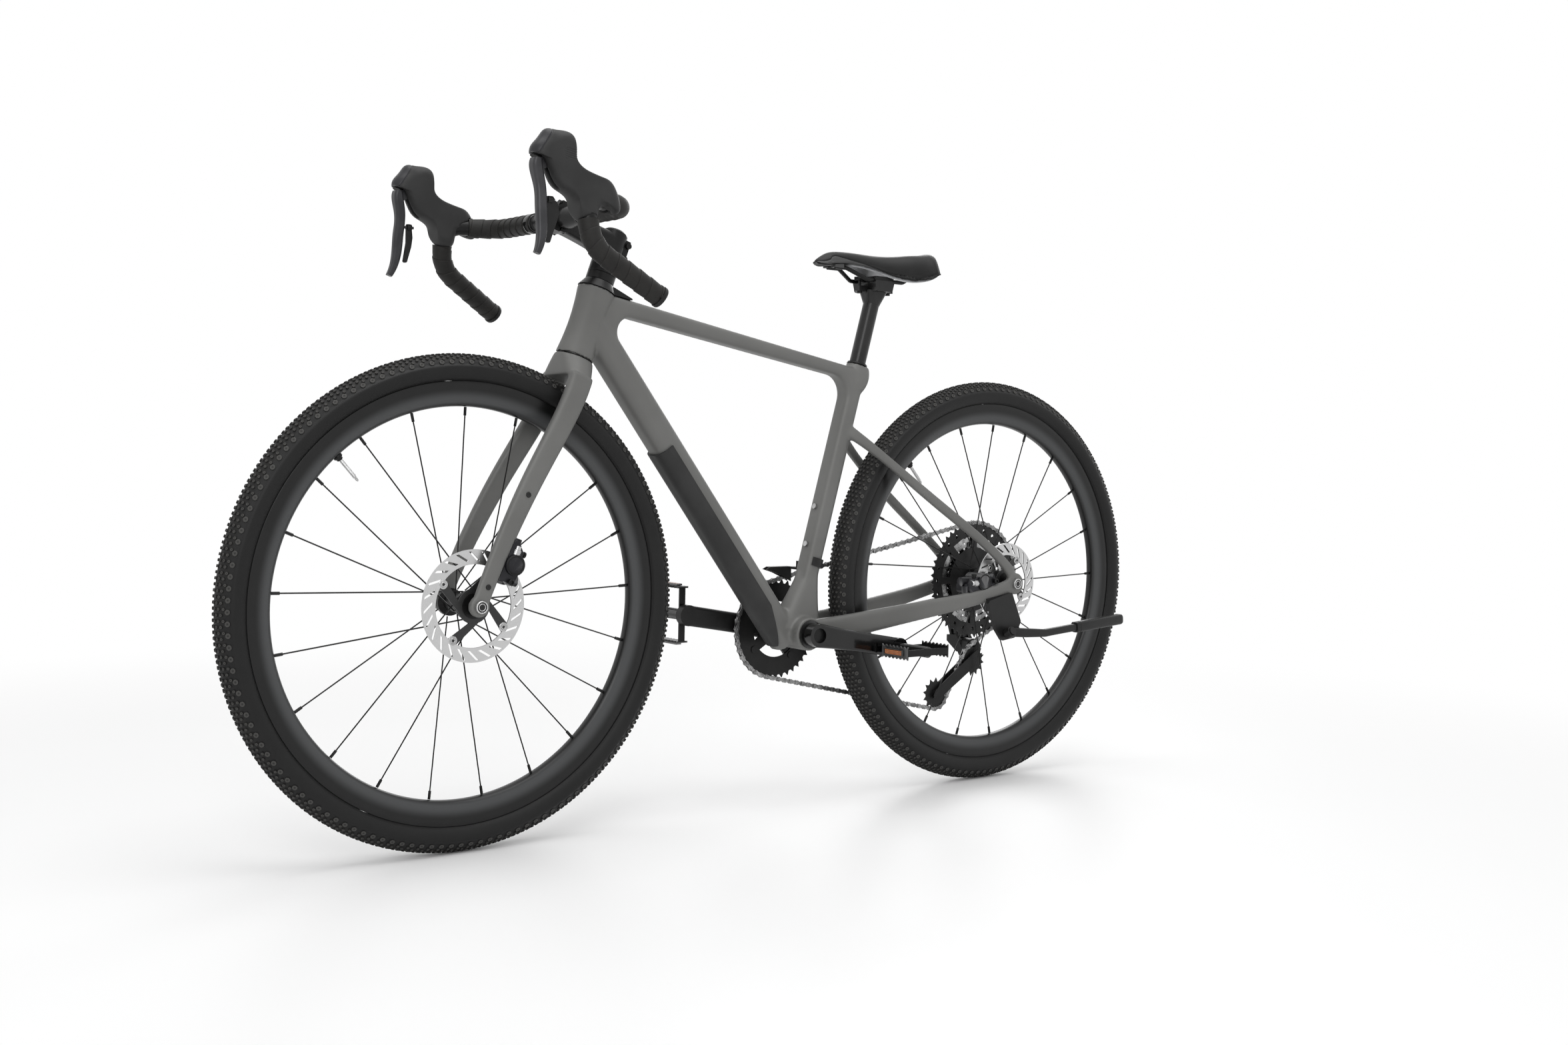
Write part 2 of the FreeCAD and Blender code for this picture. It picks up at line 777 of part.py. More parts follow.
def down_tube(along, up=0, left=0):
    """A point along the down tube from its low end, raised square to it."""
    return down_low + down_way * along + down_normal * up + LEFT * left


def main_web():
    """The top tube and the curved corners where the three main tubes run into each other."""
    half = s.web_width / 2
    top_line = (top_front - UP * s.top_tube_start, top_rear - top_front - UP * (s.top_tube_end - s.top_tube_start))
    seat_line = (seat(0, s.seat_tube_radius - s.gap), seat_up)
    down_line = (down_tube(0, s.down_tube_depth / 2 - s.gap), down_way)
    corners = [crossing(*top_line, *down_line), crossing(*top_line, *seat_line), crossing(*seat_line, *down_line)]
    window = slab([(corner.x, corner.z) for corner in corners], 0, s.web_width,
                  [s.throat_radius, s.seat_corner_radius, s.bracket_corner_radius])
    rim_points = [top_front, top_rear, bracket, down_tube(0), down_high]
    web = slab([(corner.x, corner.z) for corner in rim_points], 0, s.web_width).cut(window)
    outer = {(round(point.x, 2), round(point.z, 2)) for point in rim_points[1:]}
    edges = []
    for edge in side_edges(web, half):
        ends = {(round(vertex.Point.x, 2), round(vertex.Point.z, 2)) for vertex in edge.Vertexes}
        if not ends & outer or ends == {(round(point.x, 2), round(point.z, 2)) for point in rim_points[:2]}:
            edges.append(edge)
    return web.makeFillet(s.web_round, edges)


def ring(centre, axis, radius):
    return Part.Wire(Part.makeCircle(radius, centre, axis))


def head_tube():
    """Waisted head tube."""
    stations = ((head_low, s.head_tube_radius), ((head_low + head_high) / 2, s.head_tube_waist),
                (head_high, s.head_tube_radius))
    return Part.makeLoft([ring(steerer(up), steer_up, radius) for up, radius in stations], True, False)


def seat_tube():
    """Round seat tube that swells into the seatpost collar and flares towards the bottom bracket."""
    start = s.seat_mast_height - s.seat_collar_length
    tube_part = rod(bracket, seat_up, s.seat_tube_radius, s.seat_mast_height - s.gap)
    collar = loft([
        (seat(start), seat_up, 2 * s.seat_tube_radius, 2 * s.seat_tube_radius, s.seat_tube_radius),
        (seat(s.seat_mast_height - s.seat_collar_length / 3, -s.collar_setback), seat_up,
         s.seat_collar_width, s.seat_collar_depth, s.seat_tube_radius),
        (seat(s.seat_mast_height, -s.collar_setback / 2), seat_up, s.seat_collar_width - s.collar_setback,
         s.seat_collar_depth - s.collar_setback, s.seat_tube_radius),
    ])
    wide = 2 * s.seat_tube_radius
    flare = loft([
        (seat(0), seat_up, 1.5 * wide, s.flare_depth, s.seat_tube_radius),
        (seat(s.flare_height * 0.45), seat_up, 1.2 * wide, (s.flare_depth + wide) / 2, s.seat_tube_radius),
        (seat(s.flare_height), seat_up, wide, wide, s.seat_tube_radius),
    ])
    return tube_part.multiFuse([collar, flare])


def down_tube_shell(grow=0, start=0, end=1):
    """The deep down tube, or a skin that stands off it."""
    stations = []
    for share in (start, (start + end) / 2, end):
        stations.append((down_tube(down_length * share), down_way, s.down_tube_width + 2 * grow,
                         s.down_tube_depth + 2 * grow, s.down_tube_round + grow))
    return loft(stations)


dropout_left = s.rear_spacing / 2 + s.dropout_width / 2


def chainstay():
    """Left chainstay, from beside the bottom bracket to the dropout."""
    reach = bracket.x - rear_centre.x
    rise = s.bracket_drop

    def at(share, left, lift=0):
        return Vector(bracket.x - reach * share, left, bracket.z + rise * share + lift)
    inner = s.stay_inside + s.chainstay_thickness / 2
    ways = [Vector(-1, 0.05, 0.1), Vector(-1, 0.1, 0.15), Vector(-1, 0.13, 0.17), Vector(-1, 0.1, 0.17),
            Vector(-1, 0, 0.17)]
    return loft([
        (at(0.02, inner - 2), ways[0], s.chainstay_thickness + 6, s.chainstay_depth + 4, 7),
        (at(0.2, inner, -5), ways[1], s.chainstay_thickness, s.chainstay_depth, 6),
        (at(0.48, inner + 0.4 * (dropout_left - inner), -7), ways[2], s.chainstay_thickness,
         (s.chainstay_depth + s.chainstay_tip_depth) / 2, 6),
        (at(0.78, inner + 0.88 * (dropout_left - inner), -8), ways[3], s.chainstay_thickness,
         s.chainstay_tip_depth, 6),
        (at(0.97, dropout_left, -2), ways[4], s.dropout_width, s.chainstay_tip_depth, 5),
    ])


def seatstay():
    """Left seatstay, dropped low on the seat tube."""
    root = seat(s.seatstay_height, -s.seat_tube_radius / 3)
    foot = rear_centre + Vector(8, 0, s.dropout_radius)
    way = (foot - root).normalize()
    length = (foot - root).Length

    def at(share, left, lift=0):
        return root + way * (length * share) + LEFT * left + UP * lift
    wide = s.stay_inside + s.seatstay_thickness / 2
    return loft([
        (at(0, s.seat_tube_radius - 4), way + LEFT * 0.5, s.seatstay_thickness, s.seatstay_depth + 5, 5),
        (at(0.13, wide - 3), way + LEFT * 0.3, s.seatstay_thickness, s.seatstay_depth, 5),
        (at(0.4, wide + 0.42 * (dropout_left - wide)), way + LEFT * 0.15, s.seatstay_thickness,
         s.seatstay_depth, 5),
        (at(0.85, dropout_left - 2, 6), way + LEFT * 0.05, s.seatstay_thickness, s.seatstay_depth, 5),
        (at(1, dropout_left, 0), way + Vector(0, 0, -0.3), s.dropout_width, s.seatstay_depth + 4, 5),
    ])


def dropout():
    """Left dropout plate round the axle."""
    return rod(rear_centre + LEFT * (s.rear_spacing / 2), LEFT, s.dropout_radius, s.dropout_width)


def bottle_holes(point, way, normal):
    """Two bosses for a bottle cage, drilled square to a tube."""
    return [rod(point + way * along - normal * s.boss_depth, normal, s.boss_radius, s.boss_depth * 2)
            for along in (0, s.bottle_spacing)]


seat_boss = seat(s.bottle_height, s.seat_tube_radius)


def frame():
    half = [chainstay(), seatstay(), dropout()]
    shell = rod(bracket - LEFT * (s.shell_width / 2), LEFT, s.shell_radius, s.shell_width)
    solid = main_web().multiFuse(
        [head_tube(), seat_tube(), down_tube_shell(), shell] + half + [mirrored(piece) for piece in half])
    pocket = s.bearing_height + s.gap
    cuts = [
        rod(steerer(head_low - 5), steer_up, s.crown_race_radius + 1, s.head_tube_length + 10),
        rod(steerer(head_low - 5), steer_up, s.bearing_radius, 5 + pocket),
        rod(steerer(head_high - pocket), steer_up, s.bearing_radius, pocket + 20),
        rod(seat(s.seat_mast_height - s.seatpost_insertion - 5), seat_up, s.seatpost_radius + s.fit,
            s.seatpost_insertion + 30),
        rod(bracket - LEFT * s.shell_width, LEFT, s.shell_bore, s.shell_width * 2),
        rod(rear_centre - LEFT * s.rear_spacing, LEFT, s.axle_radius + s.fit, s.rear_spacing * 2),
        rod(rear_centre + LEFT * (s.rear_spacing / 2 + s.dropout_width), LEFT, s.axle_head_radius + s.gap, s.dropout_width),
    ]
    cuts += [rod(bracket + LEFT * side * s.shell_width / 2, LEFT * side, s.shell_bore + 2 * s.cup_flange, s.shell_width)
             for side in (-1, 1)]
    cuts += bottle_holes(seat_boss, seat_up, seat_fore)
    return solid.cut(cuts).removeSplitter()


feature("frame", frame())


def guard():
    """Skin under the lower part of the down tube."""
    end = s.guard_length / down_length
    start = s.guard_start / down_length
    skin = down_tube_shell(s.gap + s.guard_wall, start, end).cut(down_tube_shell(s.gap, -0.1, 1.1))
    reach = s.down_tube_depth * 2
    low_edge = -0.52 * s.down_tube_depth
    above = [down_tube(-reach, low_edge - reach), down_tube(s.guard_start - s.guard_wall, low_edge),
             down_tube(s.guard_taper), down_tube(down_length),
             down_tube(down_length, reach), down_tube(-reach, reach)]
    return skin.cut(slab([(corner.x, corner.z) for corner in above], 0, reach))


feature("down_tube_guard", guard())


# Headset and bottom bracket
def headset_cover():
    """Conical cover with a tail that lies along the top tube."""
    cone = Part.makeCone(s.head_tube_radius, s.spacer_radius, s.cover_height - s.gap, steerer(head_high + s.gap), steer_up)
    way = (top_rear - top_front).normalize()
    lift = Vector(0, 0, s.gap)
    tail_end = top_front + way * (s.head_tube_radius + s.cover_tail / 2) + lift
    tail = slab([(corner.x, corner.z) for corner in (
        top_front + lift, steerer(cover_top - s.gap), steerer(cover_top - s.gap, -s.spacer_radius),
        tail_end + UP * 2, tail_end)], 0, s.cover_tail_width)
    top_skin = slab([(corner.x, corner.z) for corner in (
        top_front + lift - way * s.head_tube_radius, top_rear + lift, top_rear - UP * s.cover_tail,
        top_front - UP * s.cover_tail)], 0, s.web_width + s.gap)
    below = rod(steerer(head_high - s.cover_tail), steer_up, s.head_tube_radius + s.gap, s.cover_tail + s.gap)
    bore = rod(steerer(head_high - s.cover_height), steer_up, s.steerer_radius + 1, 3 * s.cover_height)
    return cone.fuse(tail).cut([top_skin, below, bore])


feature("headset_cover", headset_cover())


def bearing(name, base, bore):
    """A headset bearing in its pocket."""
    return turned(name, [
        (bore, "0"), ("bearing_radius - fit", "0"), ("bearing_radius - fit", "bearing_height"),
        (bore, "bearing_height"),
    ], base, steer_up)


def cup(name, axis):
    """A bottom bracket cup pressed into the shell, with its flange outside."""
    return turned(name, [
        ("spindle_radius + fit", "shell_width / 2 - cup_depth"), ("shell_bore - fit", "shell_width / 2 - cup_depth"),
        ("shell_bore - fit", "shell_width / 2"), ("shell_bore + cup_flange", "shell_width / 2"),
        ("shell_bore + cup_flange", "shell_width / 2 + cup_flange"),
        ("spindle_radius + fit", "shell_width / 2 + cup_flange"),
    ], bracket, axis)


group("frame_bearings", [
    bearing("LowerBearing", steerer(head_low + s.gap), "crown_race_radius + fit"),
    bearing("UpperBearing", steerer(head_high - s.bearing_height), "steerer_radius + fit"),
    cup("LeftCup", LEFT), cup("RightCup", LEFT * -1),
])


# Fork
BLADE = ((0.93, 0, 0, 1), (0.8, 0.06, 0.12, 0.92), (0.58, 0.42, 0.44, 0.72), (0.34, 0.77, 0.76, 0.42),
         (0.15, 0.94, 0.96, 0.12), (0, 1, 1, 0))
blade_inner = s.tyre_width / 2 + s.tyre_clearance
blade_root = blade_inner + s.blade_thickness / 2
blade_tip = s.front_spacing / 2 + s.dropout_width / 2


def blade_station(share):
    """Fore offset, left offset, depth and thickness of a blade at a share of the crown's height."""
    for (high, *upper), (low, *lower) in zip(BLADE, BLADE[1:]):
        if low <= share <= high:
            part = (share - low) / (high - low)
            fore, left, bulk = [b + (a - b) * part for a, b in zip(upper, lower)]
            break
    return (fore * s.fork_offset, blade_root + left * (blade_tip - blade_root),
            s.blade_tip_depth + bulk * (s.blade_depth - s.blade_tip_depth),
            s.dropout_width + bulk * (s.blade_thickness - s.dropout_width))


def blade():
    """Left fork blade, curving forward to its dropout."""
    stations = []
    for share, *_ in BLADE:
        fore, left, depth, thickness = blade_station(share)
        stations.append((steerer(share * s.crown_height, fore, left), steer_up * -1, thickness, depth, thickness * 0.45))
    tip = rod(front_centre + LEFT * (s.front_spacing / 2), LEFT, s.fork_tip_radius, s.dropout_width)
    return loft(stations).fuse(tip)


def blade_hole(share):
    """A threaded boss in the outer face of the left blade."""
    fore, left, _, thickness = blade_station(share)
    return rod(steerer(share * s.crown_height, fore, left + thickness / 2 - s.boss_depth), LEFT, s.boss_radius,
               s.boss_depth * 2)


def fork():
    crown = Part.makeLoft([
        oblong(steerer(s.crown_height), LEFT, steer_fore, 2 * s.head_tube_radius, 2 * s.head_tube_radius,
               s.head_tube_radius),
        oblong(steerer(s.crown_height - s.crown_depth / 3), LEFT, steer_fore, 2.5 * s.head_tube_radius,
               1.85 * s.head_tube_radius, s.head_tube_radius),
        oblong(steerer(s.crown_height - s.crown_depth), LEFT, steer_fore, 2 * (blade_root + s.blade_thickness / 2),
               s.blade_depth + 4, s.blade_thickness),
    ], True, False)
    race_top = head_low + s.gap + s.bearing_height
    race = rod(steerer(s.crown_height - 1), steer_up, s.crown_race_radius, race_top - s.crown_height + 1)
    taper = Part.makeCone(s.crown_race_radius, s.steerer_radius, s.steerer_taper, steerer(race_top), steer_up)
    column = rod(steerer(race_top), steer_up, s.steerer_radius, stem_high - 3 - race_top)
    half = blade()
    holes = [blade_hole(share) for share in (s.blade_boss_share, s.eyelet_share)]
    wheel_room = rod(front_centre - LEFT * blade_inner, LEFT, s.tyre_radius + s.tyre_clearance, 2 * blade_inner)
    solid = crown.multiFuse([half, mirrored(half)]).cut(wheel_room).multiFuse([race, taper, column])
    cuts = [rod(steerer(race_top + s.steerer_taper), steer_up, s.steerer_radius - s.steerer_wall, s.crown_height),
            rod(front_centre - LEFT * s.front_spacing, LEFT, s.axle_radius + s.fit, 2 * s.front_spacing),
            rod(front_centre + LEFT * (s.front_spacing / 2 + s.dropout_width), LEFT, s.axle_head_radius + s.gap,
                s.dropout_width)]
    return solid.cut(cuts + holes + [mirrored(piece) for piece in holes])


feature("fork", fork())


# Stem and handlebar
def spacer(index):
    base = cover_top + s.gap + index * s.spacer_height
    return turned(f"Spacer{index}", [
        ("steerer_radius + fit", "0"), ("spacer_radius - spacer_edge", "0"), ("spacer_radius", "spacer_edge"),
        ("spacer_radius", "spacer_height - spacer_edge"), ("spacer_radius - spacer_edge", "spacer_height"),
        ("steerer_radius + fit", "spacer_height"),
    ], steerer(base), steer_up)


group("steerer_spacers", [spacer(index) for index in range(int(s.spacer_count))])

stem_middle = (stem_low + stem_high) / 2
clamp_radius = s.bar_clamp_radius + s.stem_wall
bolt_rise = s.bar_clamp_radius + s.stem_wall / 2
face_front = s.stem_length + s.face_depth


def steer_slab(low, high, back, front, thickness):
    """A plate in the steering frame between two heights and two fore distances."""
    corners = (steerer(low, back), steerer(low, front), steerer(high, front), steerer(high, back))
    return slab([(corner.x, corner.z) for corner in corners], 0, thickness)


def face_bolt_places():
    return [steerer(stem_middle + rise * bolt_rise, face_front, left * s.stem_width / 3)
            for rise in (-1, 1) for left in (-1, 1)]


def pinch_bolt_places():
    back = -(s.steerer_radius + s.stem_wall + s.bolt_head_radius / 2)
    return [steerer(stem_middle + rise * s.stem_stack / 4, back, s.pinch_half) for rise in (-1, 1)]


bar_room = rod(bar_centre - LEFT * s.stem_width, LEFT, s.bar_clamp_radius + s.fit, 2 * s.stem_width)
face_holes = [rod(spot - steer_fore * 2 * s.face_depth, steer_fore, s.bolt_radius, 3 * s.face_depth)
              for spot in face_bolt_places()]


def stem():
    barrel = rod(steerer(stem_low), steer_up, s.steerer_radius + s.stem_wall, s.stem_stack)
    ends = ((0, s.stem_width, s.stem_stack), (s.stem_length / 2, s.stem_width - 4, s.stem_stack - 6),
            (s.stem_length - 4, s.stem_width, 1.7 * clamp_radius))
    arm = Part.makeLoft([oblong(steerer(stem_middle, fore), LEFT, steer_up, width, depth, s.stem_round)
                         for fore, width, depth in ends], True, False)
    cradle = rod(bar_centre - LEFT * (s.stem_width / 2), LEFT, clamp_radius, s.stem_width)
    back = s.steerer_radius + s.stem_wall + s.bolt_head_radius
    ears = steer_slab(stem_low + 3, stem_high - 3, -back - 1, -s.steerer_radius, 2 * s.pinch_half)
    cuts = [rod(steerer(stem_low - 1), steer_up, s.steerer_radius + s.fit, s.stem_stack + 2), bar_room,
            steer_slab(stem_low - 40, stem_high + 40, s.stem_length + s.face_gap / 2, s.stem_length * 2, 90),
            steer_slab(stem_low - 1, stem_high + 1, -2 * back, -s.steerer_radius + 2, s.face_gap)]
    cuts += [rod(spot - LEFT * 3 * s.pinch_half, LEFT, s.bolt_radius, 4 * s.pinch_half) for spot in pinch_bolt_places()]
    return barrel.multiFuse([arm, cradle, ears]).cut(cuts + face_holes)


def faceplate():
    hoop = rod(bar_centre - LEFT * (s.stem_width / 2), LEFT, clamp_radius, s.stem_width)
    bars = [steer_slab(stem_middle + rise * bolt_rise - s.bolt_head_radius, stem_middle + rise * bolt_rise
                       + s.bolt_head_radius, s.stem_length, face_front, s.stem_width) for rise in (-1, 1)]
    behind = steer_slab(stem_low - 40, stem_high + 40, 0, s.stem_length + 1.5 * s.face_gap, 90)
    recesses = [rod(spot, steer_fore, s.bolt_head_radius + s.gap, s.face_depth) for spot in face_bolt_places()]
    return hoop.multiFuse(bars).cut([behind, bar_room] + face_holes + recesses)


feature("stem", stem())
feature("stem_faceplate", faceplate())
cap = turned("TopCap", [
    ("0", "0"), ("steerer_radius + 3", "0"), ("steerer_radius + 3", "top_cap_height / 2"),
    ("steerer_radius", "top_cap_height"), ("0", "top_cap_height"),
], steerer(stem_high), steer_up)
group("stem_hardware", [cap]
      + [bolt(f"FaceBolt{index}", spot, steer_fore, "1.7 * face_depth") for index, spot in enumerate(face_bolt_places())]
      + [bolt(f"PinchBolt{index}", spot, LEFT, "2 * pinch_half") for index, spot in enumerate(pinch_bolt_places())])

# Left half of the handlebar: top, corner, hook and drop
bar_tops = [bar_centre + LEFT * s.bar_corner,
            bar_centre + Vector(s.bar_reach, s.bar_hook_left, 0)]
bar_hook = bar_centre + Vector(s.bar_reach - 1, s.bar_hook_left + s.bar_hook_flare, -s.bar_hook_height)
bar_end = bar_centre + Vector(-s.bar_end_back, s.bar_end_left, -s.bar_drop)
bar_turns = [s.bar_corner_radius, s.bar_brow_radius, s.bar_hook_radius]


def bar_path(start_left):
    return rounded_path([bar_centre + LEFT * start_left] + bar_tops + [bar_hook, bar_end], bar_turns)


def handlebar():
    middle = rod(bar_centre - LEFT * s.bar_clamp_half, LEFT, s.bar_clamp_radius, 2 * s.bar_clamp_half)
    taper = Part.makeCone(s.bar_clamp_radius, s.bar_radius, s.bar_taper_end - s.bar_clamp_half,
                          bar_centre + LEFT * s.bar_clamp_half, LEFT)
    side = taper.fuse(tube(bar_path(s.bar_taper_end - 1), s.bar_radius))
    return middle.multiFuse([side, mirrored(side)])


def tape():
    """Wound tape on the tops and on the drops, left of the stem and right of it."""
    grip = bar_tops[0] + (bar_tops[1] - bar_tops[0]) * s.tape_grip_share
    below = bar_tops[1] + (bar_hook - bar_tops[1]) * s.tape_drop_share
    runs = [rounded_path([bar_centre + LEFT * s.tape_start, bar_tops[0], grip], bar_turns[:1]),
            rounded_path([below, bar_hook, bar_end], bar_turns[2:])]
    sleeves = [tube(run, s.bar_radius + s.tape_thickness).cut(tube(run, s.bar_radius + s.fit)) for run in runs]
    return Part.makeCompound(sleeves + [mirrored(sleeve) for sleeve in sleeves])


feature("handlebar", handlebar())
feature("bar_tape", tape())
end_way = (bar_end - bar_hook).normalize()
plug = rod(bar_end, end_way, s.bar_radius + s.tape_thickness + 0.5, s.plug_length)
plug = plug.makeFillet(s.plug_length * 0.6, [edge for edge in plug.Edges
                                             if edge.Closed and (edge.CenterOfMass - bar_end).Length > 1])
feature("bar_plugs", Part.makeCompound([plug, mirrored(plug)]))


# Lever bodies, brake levers and shift paddles
HOOD = ((-39, -13), (-16, -16), (-12, -29), (13, -28), (20, -8), (34, 4), (46, 10), (54, 18), (60, 29), (66, 41),
        (73, 50), (85, 53), (79, 68), (66, 81), (50, 86), (34, 83), (25, 71), (24, 55), (13, 42), (-4, 35),
        (-24, 30), (-42, 19))
hood_root = Vector(bar_tops[1].x, s.bar_hook_left - 1, bar_tops[1].z)
lever_pivot = hood_root + Vector(s.lever_pivot_fore, 0, s.lever_pivot_up)
paddle_pivot = hood_root + Vector(s.lever_pivot_fore - 2, 2, -7)


def smooth_ring(points):
    """A closed smooth curve through points."""
    curve = Part.BSplineCurve()
    curve.interpolate(points, True)
    return Part.Wire(curve.toShape())


def largest(shape):
    return max(shape.Solids, key=lambda solid: solid.Volume)


def hood():
    """Left lever body in its rubber hood: the side outline swelled across its width."""
    middle = hood_root + Vector(26, 0, 26)
    wires = []
    for side, factor in ((-1, 0.72), (-0.86, 0.87), (-0.45, 0.97), (0, 1), (0.45, 0.97), (0.86, 0.87), (1, 0.72)):
        left = hood_root.y + side * s.hood_width / 2
        wires.append(smooth_ring([Vector(middle.x + (hood_root.x + x - middle.x) * factor, left,
                                         middle.z + (hood_root.z + z - middle.z) * factor) for x, z in HOOD]))
    body = Part.makeLoft(wires, True, False)
    room = tube(bar_path(s.tape_start), s.bar_radius + s.fit)
    around = s.bar_radius + s.tape_thickness + s.gap
    grip = bar_tops[0] + (bar_tops[1] - bar_tops[0]) * (s.tape_grip_share + 0.01)
    sleeve = tube(rounded_path([bar_centre + LEFT * s.tape_start, bar_tops[0], grip], bar_turns[:1]), around)
    below = bar_tops[1] + (bar_hook - bar_tops[1]) * (s.tape_drop_share - 0.01)
    drop = tube(rounded_path([below, bar_hook, bar_end], bar_turns[2:]), around)
    slot = block(lever_pivot + Vector(-18, -s.lever_tongue / 2 - s.gap, -60),
                 lever_pivot + Vector(40, s.lever_tongue / 2 + s.gap, 9))
    pin = rod(lever_pivot - LEFT * s.lever_tongue, LEFT, s.lever_pin_radius, 2 * s.lever_tongue)
    return largest(body.cut([room, sleeve, drop, slot])).fuse(pin)


def brake_lever():
    """Left brake lever: a blade in front of the hood, hung on its pivot by a tongue."""
    def at(fore, out, up):
        return hood_root + Vector(fore, out, up)
    down = UP * -1
    blade_part = loft([
        (at(77, 0, 46), down, s.lever_width + 4, 12, 5), (at(77, 0, 33), down, s.lever_width + 4, 15, 5),
        (at(72.5, 2, 10), down, s.lever_width + 1, 15, 5), (at(72.5, 6, -14), down, s.lever_width, 15, 5),
        (at(73, 9, -36), down, s.lever_width - 1, 15, 5),
        (at(75.5, 12, -60), down + FORWARD * 0.15, s.lever_width - 2, 12, 4),
        (at(83, 15, -80), down + FORWARD * 0.35, s.lever_width - 5, 9, 3),
    ])
    tongue = slab([(lever_pivot.x + x, lever_pivot.z + z) for x, z in ((-6, 5), (6, 6), (20, -2), (18, -16), (2, -9))],
                  hood_root.y, s.lever_tongue)
    stub = rod(paddle_pivot - FORWARD * s.paddle_eye, FORWARD, s.lever_pin_radius, 2.4 * s.paddle_eye)
    eye = rod(lever_pivot - LEFT * s.lever_tongue, LEFT, s.lever_pin_radius + s.fit, 2 * s.lever_tongue)
    return blade_part.multiFuse([tongue, stub]).cut(eye)


def paddle(outline_points):
    """A shift paddle behind the lever; its eye turns on the lever's stub."""
    eye = rod(paddle_pivot - FORWARD * s.paddle_eye / 2, FORWARD, s.paddle_eye / 2 + 1, s.paddle_eye - 1)
    panel = slab([(hood_root.x + x, hood_root.z + z) for x, z in outline_points], paddle_pivot.y, s.paddle_thickness,
                 s.paddle_corner)
    room = rod(paddle_pivot - FORWARD * 2 * s.paddle_eye, FORWARD, s.lever_pin_radius + s.fit, 4 * s.paddle_eye)
    return eye.fuse(panel).cut(room)


WIDE_PADDLE = ((62, -2), (53, -2), (45, -12), (43.5, -23), (46.5, -34), (52, -49), (57, -64), (63, -62), (62, -30))
SHORT_PADDLE = ((62, -2), (54, -2), (52, -22), (54, -36), (61, -60), (67, -60), (62, -30))
left_hood = hood()
feature("lever_body_left", left_hood)
feature("lever_body_right", mirrored(left_hood))
left_lever = brake_lever()
feature("brake_lever_left", left_lever)
feature("brake_lever_right", mirrored(left_lever))
feature("shift_paddle_left", paddle(WIDE_PADDLE))
feature("shift_paddle_right", mirrored(paddle(SHORT_PADDLE)))


# Seatpost and saddle
post_foot = s.seat_mast_height - s.seatpost_insertion
rail_level = seat(s.seat_mast_height).z + s.rail_height
post_top = (rail_level - s.post_head_drop - bracket.z) / seat_up.z
post_head = seat(post_top)
cap_height = 2 * s.rail_radius
clamp_bolts = [Vector(post_head.x + side * s.clamp_bolt_reach, 0, rail_level - s.cradle_depth) for side in (1, -1)]
rail_ways = [rod(Vector(post_head.x - 2 * s.cradle_half, left * s.rail_spread, rail_level), FORWARD,
                 s.rail_radius + s.fit, 4 * s.cradle_half) for left in (-1, 1)]
clamp_holes = [rod(spot - UP * s.cradle_depth, UP, s.bolt_radius, 4 * s.cradle_depth) for spot in clamp_bolts]
cradle_width = 2 * (s.rail_spread + 2 * s.rail_radius)


def seatpost():
    """Seatpost with the cradle under the saddle rails."""
    post = rod(seat(post_foot), seat_up, s.seatpost_radius, post_top - post_foot)
    neck = loft([
        (seat(post_top - s.cradle_depth), seat_up, 2 * s.seatpost_radius, 2 * s.seatpost_radius, s.seatpost_radius),
        (Vector(post_head.x, 0, rail_level - s.cradle_depth + 3), UP, 2 * s.seatpost_radius + 6, 2 * s.cradle_half, 8),
    ])
    cradle = slab([(post_head.x + x, rail_level + z) for x, z in (
        (-s.cradle_half + 5, -s.cradle_depth), (s.cradle_half - 5, -s.cradle_depth), (s.cradle_half, -s.gap / 2),
        (-s.cradle_half, -s.gap / 2))], 0, cradle_width, 3)
    ears = block(Vector(clamp_bolts[1].x - 6, -7, rail_level - s.cradle_depth),
                 Vector(clamp_bolts[0].x + 6, 7, rail_level - s.cradle_depth / 2))
    return post.multiFuse([neck, cradle, ears]).cut(rail_ways + clamp_holes)


def clamp():
    """Upper rail clamp, drawn down by two bolts."""
    cap_part = slab([(post_head.x + x, rail_level + z) for x, z in (
        (-s.cradle_half, s.gap / 2), (s.cradle_half, s.gap / 2), (s.cradle_half - 4, cap_height),
        (-s.cradle_half + 4, cap_height))], 0, cradle_width - s.rail_radius, 2)
    ears = block(Vector(clamp_bolts[1].x - 6, -7, rail_level + s.gap / 2),
                 Vector(clamp_bolts[0].x + 6, 7, rail_level + cap_height - 1))
    return cap_part.fuse(ears).cut(rail_ways + clamp_holes)


feature("seatpost", seatpost())
upper_clamp = doc.addObject("Part::Feature", "UpperClamp")
upper_clamp.Shape = clamp()
group("saddle_clamp", [upper_clamp] + [bolt(f"ClampBolt{index}", spot, UP * -1, "cradle_depth + 2 * rail_radius")
                                       for index, spot in enumerate(clamp_bolts)])
collar_ring = turned("CollarRing", [
    ("seatpost_radius + fit", "0"), ("seatpost_radius + 4", "0"), ("seatpost_radius + 3", "collar_ring"),
    ("seatpost_radius + fit", "collar_ring"),
], seat(s.seat_mast_height), seat_up)
group("seat_clamp", [collar_ring])

# Along the saddle from its nose: shares of the length, of the half width, of the height at the top and at the
# edge, and the cushion's thickness at the middle
SADDLE = ((0, 0.127, 0.491, 0.382, 4), (0.03, 0.211, 0.582, 0.364, 7), (0.2, 0.268, 0.8, 0.4, 13),
          (0.38, 0.338, 0.818, 0.382, 14), (0.53, 0.507, 0.8, 0.182, 14), (0.69, 0.817, 0.836, 0.018, 14),
          (0.84, 1, 0.927, 0.218, 14), (0.97, 0.873, 0.964, 0.527, 11), (1, 0.732, 0.909, 0.6, 8))
nose_x = post_head.x + s.saddle_fore


